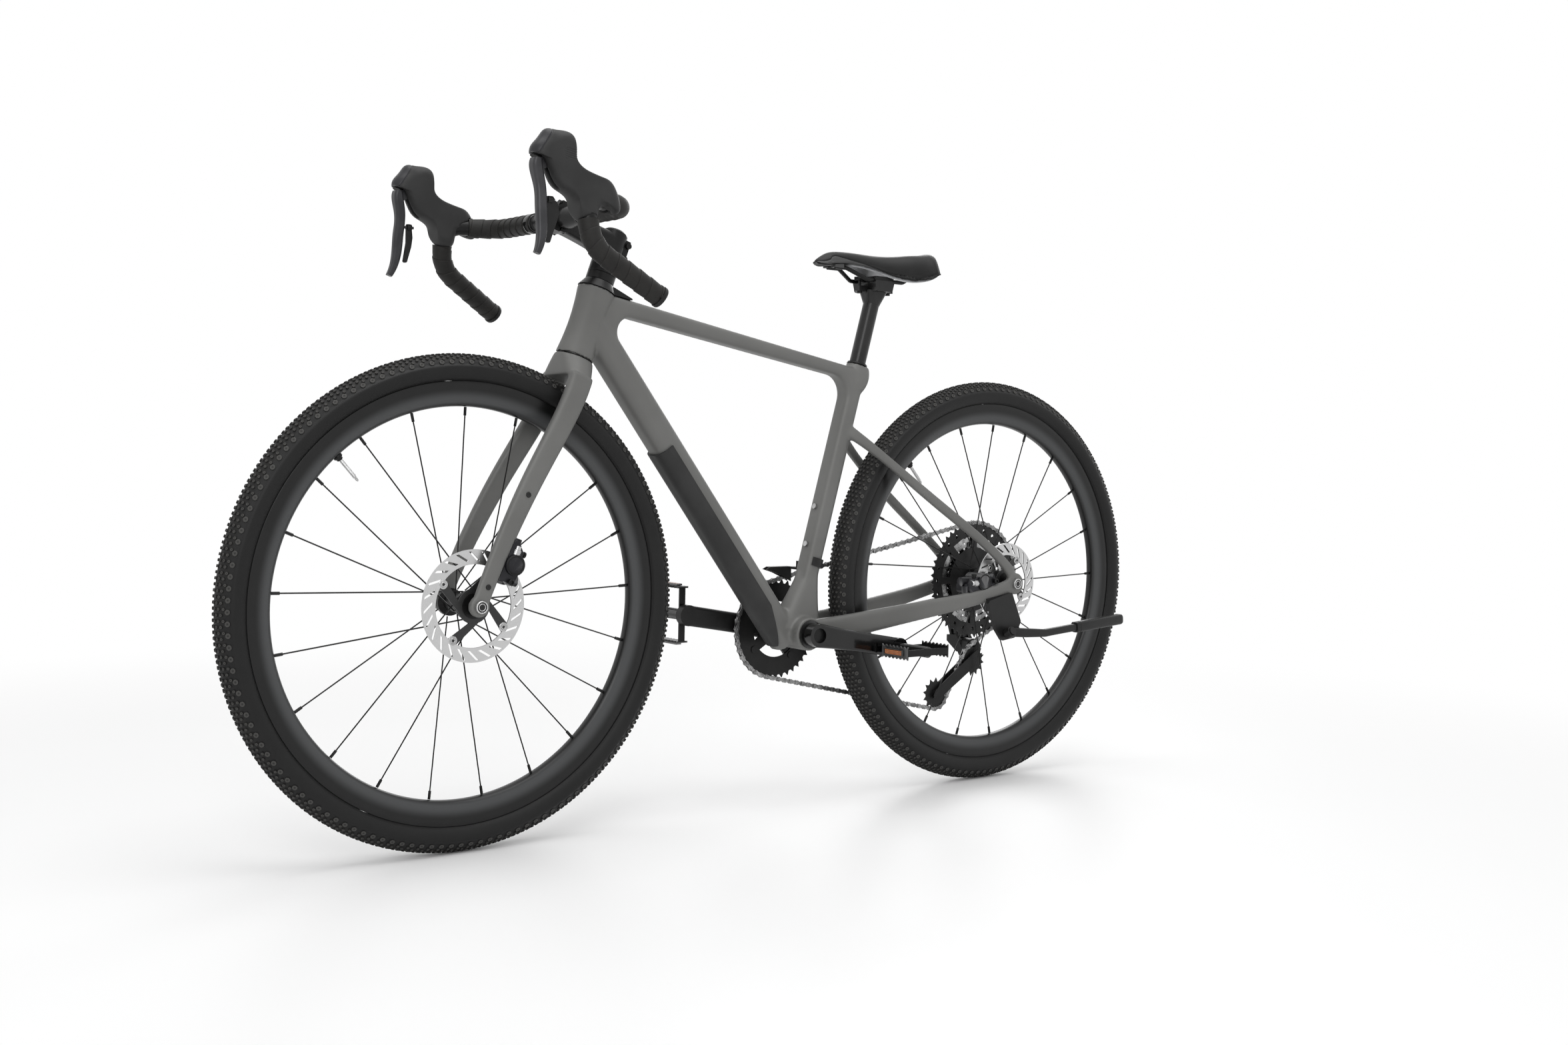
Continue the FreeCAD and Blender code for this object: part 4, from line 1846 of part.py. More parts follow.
def caliper_body(spot, plane, outline_points):
    """Rounded body with a piston housing, a neck and two bolts; spot gives a point from (along, away)."""
    low, high = plane - s.caliper_width / 2, plane + s.caliper_width * 0.72
    corners = [spot(along, away) for along, away in outline_points]
    body = rounded_block([(corner.x, corner.z) for corner in corners], low, high, 6)
    along_way = (spot(1, 0) - spot(0, 0)).normalize()
    away_way = (spot(0, 1) - spot(0, 0)).normalize()
    middle = s.caliper_length * 0.44
    housing = rod(spot(middle, 19) + LEFT * (low - 2), LEFT, s.piston_radius, high - low + 5)
    lobe = rod(spot(7, 24) + LEFT * (low + 2), LEFT, s.piston_radius * 0.6, high - low - 4)
    neck = rod(spot(middle, 19) + LEFT * plane, along_way, s.piston_radius * 0.55, s.caliper_length * 0.62)
    ears = [rod(spot(along, 0) + LEFT * (plane + 8), away_way, 2 * s.bolt_head_radius - 1, 12)
            for along in (4, s.caliper_length - 3)]
    heads = [rod(spot(along, 11) + LEFT * (plane + 8), away_way, s.bolt_head_radius, s.bolt_head_length + 1)
             for along in (4, s.caliper_length - 3)]
    return body.multiFuse([housing, lobe, neck] + ears + heads)


front_plane = s.front_spacing / 2 - s.front_rotor_inset
rear_plane = s.rear_spacing / 2 - s.rear_rotor_inset


def front_spot(along, away):
    """A point beside the left fork blade, measured up it and back from it."""
    return steerer(s.front_caliper_low + along, 36 - away)


def rear_spot(along, away):
    """A point on the left chainstay, measured forward along it and up from it."""
    return rear_centre + Vector(s.rear_caliper_fore + along, 0, away - 14)


CALIPER = ((0, 0), (0, 26), (20, 30), (48, 26), (62, 14), (62, 0))
front_middle = front_spot(s.caliper_length / 2, 18) + LEFT * front_plane
feature("front_caliper", caliper(caliper_body(front_spot, front_plane, CALIPER), front_middle, s.front_rotor_radius,
                                 front_centre, blade(), steer_fore * -1))
rear_middle = rear_spot(s.caliper_length / 2, 18) + LEFT * rear_plane
feature("rear_caliper", caliper(caliper_body(rear_spot, rear_plane, CALIPER), rear_middle, s.rear_rotor_radius,
                                rear_centre, chainstay(), UP))


# Kickstand
stand_pivot = rear_centre + Vector(s.kickstand_back, s.kickstand_left, -s.kickstand_below)
stand_axis = Vector(0, math.cos(math.radians(s.kickstand_tilt)), math.sin(math.radians(s.kickstand_tilt)))
plate_left = s.rear_spacing / 2 + s.dropout_width + s.gap


def stand_bracket():
    """Plate under the left dropout with the pin that the leg turns on."""
    corners = [(rear_centre.x + x, rear_centre.z + z) for x, z in (
        (s.kickstand_back + 44, -28), (16, -14), (-8, -66), (6, -94), (38, -98), (56, -76))]
    sheet_part = slab(corners, plate_left + s.bracket_plate / 2, s.bracket_plate, 5)
    pad = slab([(rear_centre.x + x, rear_centre.z + z) for x, z in ((72, -24), (18, -15), (22, -40), (66, -46))],
               plate_left - 3, 7)
    pad = pad.cut(moved(chainstay(), LEFT * s.gap / 2))
    pin = rod(stand_pivot - stand_axis * 14, stand_axis, s.kickstand_pin, 14 + s.kickstand_eye / 2 + 1)
    cap_disc = rod(stand_pivot + stand_axis * (s.kickstand_eye / 2 + s.gap), stand_axis, s.kickstand_pin + 3, 2)
    return sheet_part.multiFuse([pad, pin, cap_disc])


def stand_leg():
    """Flat bent leg with a thicker sleeve at its foot."""
    eye = rod(stand_pivot - stand_axis * (s.kickstand_eye / 2), stand_axis, s.kickstand_pin + 5, s.kickstand_eye)
    bend = stand_pivot + Vector(-s.kickstand_bend, 0, -5)
    back, run = FORWARD * -1, polar(180 - s.kickstand_rise, 1)
    foot = bend + run * (s.kickstand_length - s.kickstand_bend - s.kickstand_sleeve)
    wide = 2 * s.kickstand_bar
    bar = loft([
        (stand_pivot + back * 8, back, wide - 1, wide + 3, 5),
        ((stand_pivot + bend) * 0.5, back - UP * 0.06, wide - 1, wide + 3, 5),
        (bend, back + run, wide - 1, wide, 5), (foot + run, run, wide - 1, wide, 5),
    ])
    sleeve = loft([(foot + run * (s.kickstand_sleeve * share), run, wide + 4 - cut, wide + 6 - cut, 6)
                   for share, cut in ((0, 0), (0.94, 0), (1, 6))])
    room = rod(stand_pivot - stand_axis * 30, stand_axis, s.kickstand_pin + s.fit, 60)
    return eye.multiFuse([bar, sleeve]).cut(room)


feature("kickstand_bracket", stand_bracket())
feature("kickstand_leg", stand_leg())


# Check every object and write the sub-parts
doc.recompute()
for item in doc.Objects:
    if {"Invalid", "Error"} & set(item.State):
        raise RuntimeError(f"{item.Label} is {item.State}")
os.makedirs("parts", exist_ok=True)
for item in nodes:
    if item.Shape.isNull() or not item.Shape.isValid():
        raise RuntimeError(f"{item.Label} has no valid shape")
    item.Shape.exportStep(f"parts/{item.Label}.step")
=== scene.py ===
import json
import math

import bmesh
import bpy
import numpy as np
from mathutils import Matrix, Vector


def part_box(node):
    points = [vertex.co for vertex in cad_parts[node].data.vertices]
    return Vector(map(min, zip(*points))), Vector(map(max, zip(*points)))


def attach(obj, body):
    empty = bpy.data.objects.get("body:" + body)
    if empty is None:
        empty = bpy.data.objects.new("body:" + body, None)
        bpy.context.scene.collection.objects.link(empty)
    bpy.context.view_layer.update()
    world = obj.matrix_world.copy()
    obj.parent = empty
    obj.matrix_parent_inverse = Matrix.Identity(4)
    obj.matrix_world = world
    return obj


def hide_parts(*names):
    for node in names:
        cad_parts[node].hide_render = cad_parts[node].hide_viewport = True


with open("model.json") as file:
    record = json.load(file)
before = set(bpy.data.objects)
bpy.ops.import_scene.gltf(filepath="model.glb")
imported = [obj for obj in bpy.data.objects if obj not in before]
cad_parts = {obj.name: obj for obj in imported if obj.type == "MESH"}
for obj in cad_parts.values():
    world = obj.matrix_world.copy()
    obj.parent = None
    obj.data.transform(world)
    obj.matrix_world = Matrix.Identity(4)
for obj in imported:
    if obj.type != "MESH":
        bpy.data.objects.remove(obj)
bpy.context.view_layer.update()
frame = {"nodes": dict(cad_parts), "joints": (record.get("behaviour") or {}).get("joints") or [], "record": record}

MM = 0.001
FULL_TURN = 2 * math.pi
FORE, LEFT, UP = Vector((1, 0, 0)), Vector((0, 1, 0)), Vector((0, 0, 1))
JOINT_PLACES = {joint["name"]: Vector(joint["pos_m"]) for joint in frame["joints"]}
# Each wheel's centre
WHEELS = {wheel: JOINT_PLACES[wheel + "_wheel_spin"] for wheel in ("front", "rear")}

# Places where a finish or a form changes, worked out from the solids' boxes
RIM_DEPTH = 36 * MM
RIM_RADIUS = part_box("front_rim")[1].z - WHEELS["front"].z
RIM_NOSE = RIM_RADIUS - RIM_DEPTH
RIM_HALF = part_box("front_rim")[1].y
TYRE_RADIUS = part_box("front_tyre")[1].z - WHEELS["front"].z
LARGEST_SPROCKET_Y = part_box("sprockets")[1].y - 2.4 * MM
ROTOR_TRACK = 21 * MM
RING = {wheel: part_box(wheel + "_rotor")[1].z - centre.z - ROTOR_TRACK for wheel, centre in WHEELS.items()}


def turned(first, second, angle):
    """A direction turned from one towards another."""
    return first * math.cos(angle) + second * math.sin(angle)


def linked(name, data):
    """A new object in the scene."""
    item = bpy.data.objects.new(name, data)
    bpy.context.scene.collection.objects.link(item)
    return item


# Camera at the photograph's place, with the photograph's lens
PICTURE_WIDTH = 2352
FOCAL_PIXELS = 2573
SENSOR = 36
CAMERA_PLACE = Vector((1.663, 2.194, 0.586))
CAMERA_AZIMUTH, CAMERA_RISE, CAMERA_ROLL = (math.radians(angle) for angle in (141.82, 2.50, 1.16))
CLIP_START, CLIP_END = 0.05, 60


def add_camera():
    """Looks at the bike from where the photograph was taken."""
    back = turned(turned(-LEFT, FORE, CAMERA_AZIMUTH), UP, CAMERA_RISE)
    right = UP.cross(back).normalized()
    up = back.cross(right)
    data = bpy.data.cameras.new("camera")
    data.sensor_width = SENSOR
    data.lens = FOCAL_PIXELS * SENSOR / PICTURE_WIDTH
    data.clip_start, data.clip_end = CLIP_START, CLIP_END
    item = linked("camera", data)
    turn = Matrix((turned(right, up, CAMERA_ROLL), turned(up, -right, CAMERA_ROLL), back)).transposed()
    item.matrix_world = Matrix.Translation(CAMERA_PLACE) @ turn.to_4x4()
    bpy.context.scene.camera = item


# Shader arithmetic
def shade(red, green, blue):
    """A colour as it is seen on a screen, from 0 to 255, in the renderer's linear values."""
    linear = [value / 255 for value in (red, green, blue)]
    linear = [value / 12.92 if value <= 0.04045 else ((value + 0.055) / 1.055) ** 2.4 for value in linear]
    return (*linear, 1)


def grey(level):
    return shade(level, level, level)


class Signal:
    """A socket of a node tree that takes part in Python arithmetic."""

    def __init__(self, tree, socket=None):
        self.tree = tree
        self.socket = socket

    def node(self, kind, sockets, output=0, **settings):
        """Adds a node: its settings first, then the values or links of its sockets."""
        made = self.tree.nodes.new("ShaderNode" + kind)
        for name, value in settings.items():
            setattr(made, name, value)
        for name, value in sockets.items():
            if isinstance(value, Signal):
                self.tree.links.new(value.socket, made.inputs[name])
            else:
                made.inputs[name].default_value = value
        return Signal(self.tree, made.outputs[output] if len(made.outputs) else None)

    def maths(self, operation, first, second=0.0):
        return self.node("Math", {0: first, 1: second}, operation=operation)

    def __add__(self, other):
        return self.maths("ADD", self, other)

    def __sub__(self, other):
        return self.maths("SUBTRACT", self, other)

    def __rsub__(self, other):
        return self.maths("SUBTRACT", other, self)

    def __mul__(self, other):
        return self.maths("MULTIPLY", self, other)

    def __gt__(self, other):
        return self.maths("GREATER_THAN", self, other)

    __radd__ = __add__

    def swing(self, amount):
        """A noise as a change about zero."""
        return (self - 0.5) * amount


class Finish(Signal):
    """A new material: the hand that adds its nodes, and the place on its surface."""

    def __init__(self, name):
        self.material = bpy.data.materials.new(name)
        self.material.use_nodes = True
        super().__init__(self.material.node_tree)
        self.tree.nodes.clear()
        self.place = self.node("TexCoord", {}, "Object")

    def noise(self, scale, detail, rough=0.5, place=None):
        sockets = {"Vector": place or self.place, "Scale": scale, "Detail": detail, "Roughness": rough}
        return self.node("TexNoise", sockets)

    def cells(self, feature, distance="EUCLIDEAN", **sockets):
        return self.node("TexVoronoi", {"Vector": self.place, **sockets}, feature=feature, distance=distance)

    def between(self, value, low, high):
        """0 at low, 1 at high, eased between them."""
        sockets = {"Value": value, "From Min": low, "From Max": high}
        return self.node("MapRange", sockets, interpolation_type="SMOOTHSTEP")

    def mix(self, share, first, second):
        """A colour between two, by a share that may change over the surface."""
        return self.node("Mix", {0: share, 6: first, 7: second}, 2, data_type="RGBA")

    def mottle(self, cloud, low, high):
        """Two colours in soft patches."""
        return self.mix(self.between(cloud, 0.3, 0.7), low, high)

    def mark(self, name):
        """The share that a mesh keeps for its corners under a name."""
        return self.node("Attribute", {}, "Fac", attribute_name=name)

    def along(self, axis):
        return self.node("SeparateXYZ", {0: self.place}, axis)

    def stretched(self, factors):
        """The place with each axis scaled by its own factor."""
        return self.node("VectorMath", {0: self.place, 1: factors}, operation="MULTIPLY")

    def distance(self, centre):
        """How far the place is from a wheel's axis, which runs from side to side."""
        sockets = {0: self.stretched((1, 0, 1)), 1: (centre[0], 0, centre[2])}
        return self.node("VectorMath", sockets, "Value", operation="DISTANCE")

    def waves(self, length, pitch):
        return self.maths("SINE", length * (FULL_TURN / pitch))

    def shown(self, surface):
        """The material with a surface joined to its output."""
        self.node("OutputMaterial", {"Surface": surface})
        return self.material

    def settle(self, colour, roughness, metallic, bump, depth, shine=0.5, coat=0.0, coat_rough=0.03):
        """The material with what was worked out joined to its surface."""
        relief = self.node("Bump", {"Height": bump, "Distance": depth, "Strength": 1.0})
        return self.shown(self.node("BsdfPrincipled", {
            "Base Color": colour, "Roughness": roughness, "Metallic": metallic, "Normal": relief,
            "Specular IOR Level": shine, "Coat Weight": coat, "Coat Roughness": coat_rough}))


# Share of the usual gloss that the black finishes keep
DARK_SHINE = 0.28


def matt_carbon():
    """Matt grey paint over carbon: a fine metal flake, faint cloudiness and a dry orange peel."""
    make = Finish("matt_carbon_paint")
    cloud = make.noise(9.0, 4.0)
    flake = make.noise(2600.0, 1.0)
    colour = make.mottle(cloud * 0.7 + flake * 0.3, shade(101, 101, 99), shade(111, 111, 109))
    rough = 0.5 + cloud.swing(0.12) - (flake > 0.62) * 0.06
    peel = make.noise(900.0, 2.0)
    return make.settle(colour, rough, 0.18, peel, 0.00006, 0.45)


def black_coat(name, low, high, gloss, grain_scale, metallic=0.0, wear=0.0, coat=0.0, blue=0):
    """Black paint, anodising or moulded skin: two blacks in a cloud and a fine grain; edges can be worn."""
    make = Finish(name)
    cloud = make.noise(35.0, 4.0)
    grain = make.noise(grain_scale, 2.0)
    colour = make.mottle(cloud, shade(low, low, low + blue), shade(high, high, high + blue))
    rough = gloss + cloud.swing(0.16) + grain.swing(0.08)
    if wear:
        edge = make.node("NewGeometry", {}, "Pointiness")
        wear_and_highlight = make.between(edge + grain.swing(0.05), 0.56, 0.66) * wear
        colour = make.mix(wear_and_highlight, colour, grey(150))
        metallic = metallic + wear_and_highlight * (1 - metallic)
    return make.settle(colour, rough, metallic, grain, 0.00004, DARK_SHINE, coat, 0.08)


def guard_rubber():
    """Soft rubber under the down tube: two near blacks and a leathery grain."""
    make = Finish("guard_rubber")
    cloud = make.noise(22.0, 5.0)
    grain = make.noise(1300.0, 3.0, 0.6)
    colour = make.mottle(cloud, grey(42), grey(50))
    return make.settle(colour, 0.56 + cloud.swing(0.14), 0.0, grain, 0.00012, DARK_SHINE)


def hood_rubber():
    """Moulded hood: fine leathery rubber, with a smooth plastic plate at its front."""
    make = Finish("hood_rubber")
    plate = make.mark("plate")
    cloud = make.noise(22.0, 5.0)
    grain = make.noise(1100.0, 3.0, 0.6)
    colour = make.mottle(cloud, grey(40), grey(49))
    colour = make.mix(plate, colour, make.mix(cloud, shade(38, 38, 40), shade(46, 46, 49)))
    rough = 0.58 + cloud.swing(0.14) - plate * 0.22
    return make.settle(colour, rough, 0.0, grain * (1 - plate), 0.0001, DARK_SHINE)


# Radii between which a tyre's flank turns into its tread, and the painted shade line just above the rim, where
# tyre and rim meet
TREAD_START, TREAD_FULL = 342.5 * MM, 347.5 * MM
RIM_SHADE_START, RIM_SHADE_END = RIM_RADIUS + 2.2 * MM, RIM_RADIUS + 3.6 * MM
FLANK_RING_PITCH = 1.1 * MM


def tyre_rubber(wheel):
    """Dark flank with fine rings, drier tread, a painted highlight on the knob tops, and a painted shade line
    where the tyre meets the rim.
    """
    make = Finish(wheel + "_tyre_rubber")
    radius = make.distance(WHEELS[wheel])
    tread = make.between(radius, TREAD_START, TREAD_FULL)
    cloud = make.noise(26.0, 5.0, 0.6)
    side = make.mottle(cloud, grey(14), grey(20))
    crown = make.mottle(cloud, grey(24), shade(33, 32, 31))
    colour = make.mix(tread, side, crown)
    # Painted highlight on the knob tops, by the share that each ring of a knob keeps
    colour = make.mix(make.mark("wear_and_highlight") * 0.85, colour, shade(74, 73, 71))
    # Painted shade: a dark line on the tyre just above the rim, where the two meet
    colour = make.mix(1 - make.between(radius, RIM_SHADE_START, RIM_SHADE_END), colour, grey(8))
    rings = make.waves(radius, FLANK_RING_PITCH) * (1 - tread)
    grain = make.noise(1500.0, 2.0)
    rough = 0.5 + tread * 0.14 + cloud.swing(0.12)
    return make.settle(colour, rough, 0.0, rings * 0.12 + grain * 0.5, 0.0002, DARK_SHINE)


def rim_black():
    """Satin carbon rim with a faint lay of fibres and a painted highlight round its belly, which leaves it darkest
    beside the tyre and at the nose.
    """
    make = Finish("rim_black")
    lay = make.noise(1.0, 4.0, place=make.stretched((40, 900, 40)))
    cloud = make.noise(14.0, 4.0)
    band = make.mark("band")
    colour = make.mix(make.between(lay * 0.5 + cloud * 0.5, 0.35, 0.65), grey(11), grey(17))
    # Painted highlight round the belly, placed by each corner's share of the rim's depth
    light = make.between(band, 0.3, 0.72) * (1 - make.between(band, 0.8, 0.99))
    colour = make.mix(light, colour, shade(68, 69, 70))
    return make.settle(colour, 0.3 + cloud.swing(0.08), 0.0, lay, 0.00002, 0.32)


def metal(name, level, gloss, scale):
    """Bare metal with a fine scratch grain and patchy dulling."""
    make = Finish(name)
    cloud = make.noise(45.0, 5.0, 0.6)
    scratch = make.noise(scale, 2.0)
    colour = make.mottle(cloud, grey(level - 26), grey(level))
    rough = gloss + cloud.swing(0.1) + scratch.swing(0.12)
    return make.settle(colour, rough, 0.95, scratch, 0.00002)


def rotor_metal(wheel):
    """Ground steel brake ring, turned in fine circles, on a black carrier."""
    make = Finish(wheel + "_rotor_metal")
    radius = make.distance(WHEELS[wheel])
    carrier = 1 - make.between(radius, RING[wheel] - 0.6 * MM, RING[wheel] + 0.6 * MM)
    circles = make.noise(1.0, 3.0, place=make.node("CombineXYZ", {"X": radius * 2400}))
    cloud = make.noise(40.0, 4.0)
    colour = make.mix(carrier, make.mix(circles, grey(176), grey(214)), grey(34))
    rough = 0.3 + circles.swing(0.2) + cloud.swing(0.1) + carrier * 0.12
    return make.settle(colour, rough, 1 - carrier * 0.9, circles, 0.00004)


SPROCKET_LINE_PITCH = 0.6 * MM


def sprocket_metal():
    """Cassette: bright nickel sprockets, the largest one black."""
    make = Finish("sprocket_metal")
    black = make.along("Y") > LARGEST_SPROCKET_Y
    cloud = make.noise(60.0, 4.0)
    colour = make.mix(black, make.mottle(cloud, grey(150), grey(196)), grey(38))
    lines = make.waves(make.distance(WHEELS["rear"]), SPROCKET_LINE_PITCH)
    rough = 0.26 + cloud.swing(0.14) + black * 0.16
    return make.settle(colour, rough, 1 - black * 0.5, lines * 0.15 + cloud, 0.00004)


def chain_metal():
    """Oiled chain steel: grey plates, dark grime between them."""
    make = Finish("chain_metal")
    cloud = make.noise(120.0, 4.0)
    grime = make.between(make.noise(420.0, 3.0), 0.52, 0.66)
    colour = make.mix(grime * 0.7, make.mottle(cloud, grey(120), grey(168)), grey(40))
    rough = 0.3 + grime * 0.25 + cloud.swing(0.1)
    return make.settle(colour, rough, 0.9 - grime * 0.3, cloud, 0.00005)


def tape_skin():
    """Handlebar tape: perforated soft skin with a napped surface, paler in patches."""
    make = Finish("tape_skin")
    cells = make.cells("F1", Scale=420.0, Randomness=0.35)
    pores = make.between(cells, 0.12, 0.3)
    cloud = make.noise(30.0, 5.0, 0.6)
    nap = make.noise(2200.0, 2.0)
    colour = make.mix(make.between(cloud, 0.3, 0.75), shade(26, 25, 24), shade(38, 37, 35))
    colour = make.mix((1 - pores) * 0.5, colour, grey(16))
    rough = 0.6 + cloud.swing(0.2) + nap.swing(0.06)
    return make.settle(colour, rough, 0.0, pores * 0.6 + nap * 0.4, 0.00018, DARK_SHINE)


def saddle_skin():
    """Coated cloth with a pebble grain, a smooth grey side panel at the nose and a dark seam."""
    make = Finish("saddle_skin")
    pebbles = make.cells("SMOOTH_F1", Scale=900.0, Smoothness=0.6)
    cloud = make.noise(24.0, 4.0)
    panel, seam = make.mark("panel"), make.mark("seam")
    colour = make.mottle(cloud, grey(15), grey(22))
    colour = make.mix(panel, colour, make.mix(cloud, grey(66), grey(76)))
    colour = make.mix(seam * 0.8, colour, grey(9))
    rough = 0.42 + cloud.swing(0.12) + seam * 0.2
    return make.settle(colour, rough, 0.0, pebbles * (1 - panel), 0.00012, 0.22)


# Where the shell's pale underside ends and its dark nose begins
SHELL_PALE_END, SHELL_NOSE = -190 * MM, -170 * MM


def shell_plastic():
    """Underside of the saddle: pale grey nylon, mottled by the mould, dark under the nose."""
    make = Finish("shell_plastic")
    cloud = make.noise(30.0, 5.0)
    grain = make.noise(1100.0, 2.0)
    nose = make.between(make.along("X"), SHELL_PALE_END, SHELL_NOSE)
    colour = make.mix(nose, make.mottle(cloud, shade(172, 173, 175), shade(196, 197, 199)), grey(58))
    return make.settle(colour, 0.42 + cloud.swing(0.16), 0.0, grain, 0.00008)


def amber():
    """Reflector glass: amber with a net of little corner prisms."""
    make = Finish("amber_reflector")
    cells = make.cells("F1", "CHEBYCHEV", Scale=380.0, Randomness=0.0)
    colour = make.mix(make.between(cells, 0.1, 0.5), shade(206, 118, 26), shade(128, 62, 8))
    return make.settle(colour, 0.16 + cells * 0.1, 0.0, cells, 0.0006, 0.5, 0.8, 0.05)


def add_finishes():
    """Every finish by name, laid on the solids that it belongs to."""
    table = {
        "carbon": (matt_carbon(), "frame fork"),
        "guard": (guard_rubber(), "down_tube_guard"),
        "satin": (black_coat("anodised_black", 20, 28, 0.34, 1800.0, 0.3),
                  "steerer_spacers stem stem_faceplate stem_hardware handlebar front_hub rear_hub "
                  "headset_cover crank_spindle derailleur_hanger seat_clamp saddle_clamp saddle_rails"),
        "post": (black_coat("post_black", 22, 32, 0.3, 600.0, 0.1, coat=0.15), "seatpost"),
        "plastic": (black_coat("moulded_black", 22, 30, 0.46, 1500.0),
                    "bar_plugs shift_paddle_left shift_paddle_right chain_guide guide_pulley tension_pulley"),
        "gloss": (black_coat("gloss_black", 6, 9, 0.16, 300.0, coat=0.3), "crank_arm_left"),
        "crank": (black_coat("crank_black", 22, 30, 0.38, 1500.0, 0.2),
                  "crank_arm_right chainring chainring_bolts derailleur_base derailleur_body derailleur_cage "
                  "derailleur_inner_link derailleur_outer_link"),
        "pedal": (black_coat("pedal_black", 18, 26, 0.32, 1200.0, 0.3, 0.5), "pedal_left pedal_right"),
        "powder": (black_coat("powder_black", 23, 30, 0.42, 2200.0), "kickstand_bracket kickstand_leg"),
        "lever": (black_coat("lever_grey", 54, 64, 0.34, 1800.0, 0.3, blue=2),
                  "brake_lever_left brake_lever_right"),
        "spoke": (black_coat("spoke_black", 30, 42, 0.34, 900.0, 0.4), "front_spokes rear_spokes"),
        "hood": (hood_rubber(), "lever_body_left lever_body_right"),
        "steel": (metal("bright_steel", 190, 0.24, 1600.0), "frame_bolts"),
        "silver": (metal("satin_silver", 205, 0.3, 2200.0), "front_axle rear_axle freehub"),
        "bearing": (metal("bearing_steel", 84, 0.34, 1200.0), "frame_bearings"),
        "chain": (chain_metal(), "chain"),
        "sprocket": (sprocket_metal(), "sprockets"),
        "caliper": (black_coat("caliper_black", 34, 46, 0.3, 1400.0, 0.5, 0.6, blue=3),
                    "front_caliper rear_caliper"),
        "tape": (tape_skin(), "bar_tape"),
        "saddle": (saddle_skin(), "saddle_cover"),
        "shell": (shell_plastic(), "saddle_shell"),
        "amber": (amber(), ""),
        "rim": (rim_black(), "front_rim rear_rim"),
    }
    for wheel in WHEELS:
        table[wheel + "_tyre"] = tyre_rubber(wheel), wheel + "_tyre"
        table[wheel + "_rotor"] = rotor_metal(wheel), wheel + "_rotor"
    for material, nodes in table.values():
        for node in nodes.split():
            slots = frame["nodes"][node].data.materials
            slots.clear()
            slots.append(material)
    return {name: material for name, (material, nodes) in table.items()}


FINISH = add_finishes()


# Meshes
def add_piece(name, shape, body, finish, crease):
    """A new piece of the object from corners and faces; edges sharper than the crease stay crisp."""
    corners, faces = shape
    mesh = bpy.data.meshes.new(name)
    mesh.from_pydata([tuple(corner) for corner in corners], [], faces)
    mesh.validate()
    mesh.shade_smooth()
    mesh.set_sharp_from_angle(angle=math.radians(crease))
    mesh.materials.append(FINISH[finish])
    item = linked(name, mesh)
    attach(item, body)
    return item


def corners_of(mesh):
    """Places and outward ways of a mesh's corners, as two tables."""
    places, ways = np.empty(len(mesh.vertices) * 3), np.empty(len(mesh.vertices) * 3)
    mesh.vertices.foreach_get("co", places)
    mesh.vertex_normals.foreach_get("vector", ways)
    return places.reshape(-1, 3), ways.reshape(-1, 3)


def put_corners(mesh, places):
    """Moves a mesh's corners to the places in a table."""
    mesh.vertices.foreach_set("co", places.ravel())
    mesh.update()


def pressed(mesh, depth):
    """Moves every corner inward by its own depth."""
    places, ways = corners_of(mesh)
    put_corners(mesh, places - ways * depth[:, None])


def marked(mesh, name, share):
    """Keeps a share for every corner, which a finish reads by name."""
    mesh.attributes.new(name, "FLOAT", "POINT").data.foreach_set("value", share.astype(np.float32))


def eased(values, low, high):
    """0 up to low, 1 from high on, eased between them."""
    share = np.clip((values - low) / (high - low), 0, 1)
    return share * share * (3 - 2 * share)


def window(values, start, full, fade, end):
    """1 from full to fade, easing to 0 at start and at end."""
    return eased(values, start, full) * (1 - eased(values, fade, end))


def grid_faces(rows, columns, closed=False):
    """Quads between rings of corners kept one after the other; a closed grid joins the last to the first."""
    faces = []
    for row in range(rows if closed else rows - 1):
        near, far = row * columns, (row + 1) % rows * columns
        for column in range(columns):
            beside = (column + 1) % columns
            faces.append((near + column, far + column, far + beside, near + beside))
    return faces


def end_faces(rows, columns):
    """The two flat ends of an open grid of rings."""
    last = (rows - 1) * columns
    return [tuple(reversed(range(columns))), tuple(range(last, last + columns))]


def gathered(shapes):
    """Several (corners, faces) shapes as one."""
    corners, faces = [], []
    for more, quads in shapes:
        base = len(corners)
        corners += more
        faces += [tuple(base + corner for corner in face) for face in quads]
    return corners, faces


def mirrored_pair(shape):
    """A left-hand shape with its right-hand mirror image."""
    corners, faces = shape
    other = [Vector((corner[0], -corner[1], corner[2])) for corner in corners]
    return gathered([shape, (other, [tuple(reversed(face)) for face in faces])])


def spin(centre, angle, radius, left):
    """A place on a wheel, by its turn from straight ahead."""
    return Vector((centre.x + radius * math.cos(angle), left, centre.z + radius * math.sin(angle)))


HOOP_TURNS = 180


def hoop(centre, section):
    """A closed section of (radius, side) pairs turned round a wheel's axle."""
    corners = [spin(centre, FULL_TURN * turn / HOOP_TURNS, radius, side)
               for turn in range(HOOP_TURNS) for radius, side in section]
    return corners, grid_faces(HOOP_TURNS, len(section), True)


def lathe(section, base, axis, steps):
    """A turned shape from (radius, height) pairs in mm round an axis; a radius of 0 closes an end."""
    axis = Vector(axis).normalized()
    side = axis.orthogonal().normalized()
    other = axis.cross(side)
    corners, faces, rings = [], [], []
    for radius, height in section:
        level = Vector(base) + axis * (height * MM)
        turns = [FULL_TURN * step / steps for step in range(steps if radius else 1)]
        rings.append(range(len(corners), len(corners) + len(turns)))
        corners += [level + turned(side, other, turn) * (radius * MM) for turn in turns]
    for low, high in zip(rings, rings[1:]):
        for step in range(steps):
            beside = (step + 1) % steps
            if len(low) == 1:
                faces.append((low[0], high[beside], high[step]))
            elif len(high) == 1:
                faces.append((low[step], low[beside], high[0]))
            else:
                faces.append((low[step], low[beside], high[beside], high[step]))
    return corners, faces


MERGE_REACH = 0.02 * MM


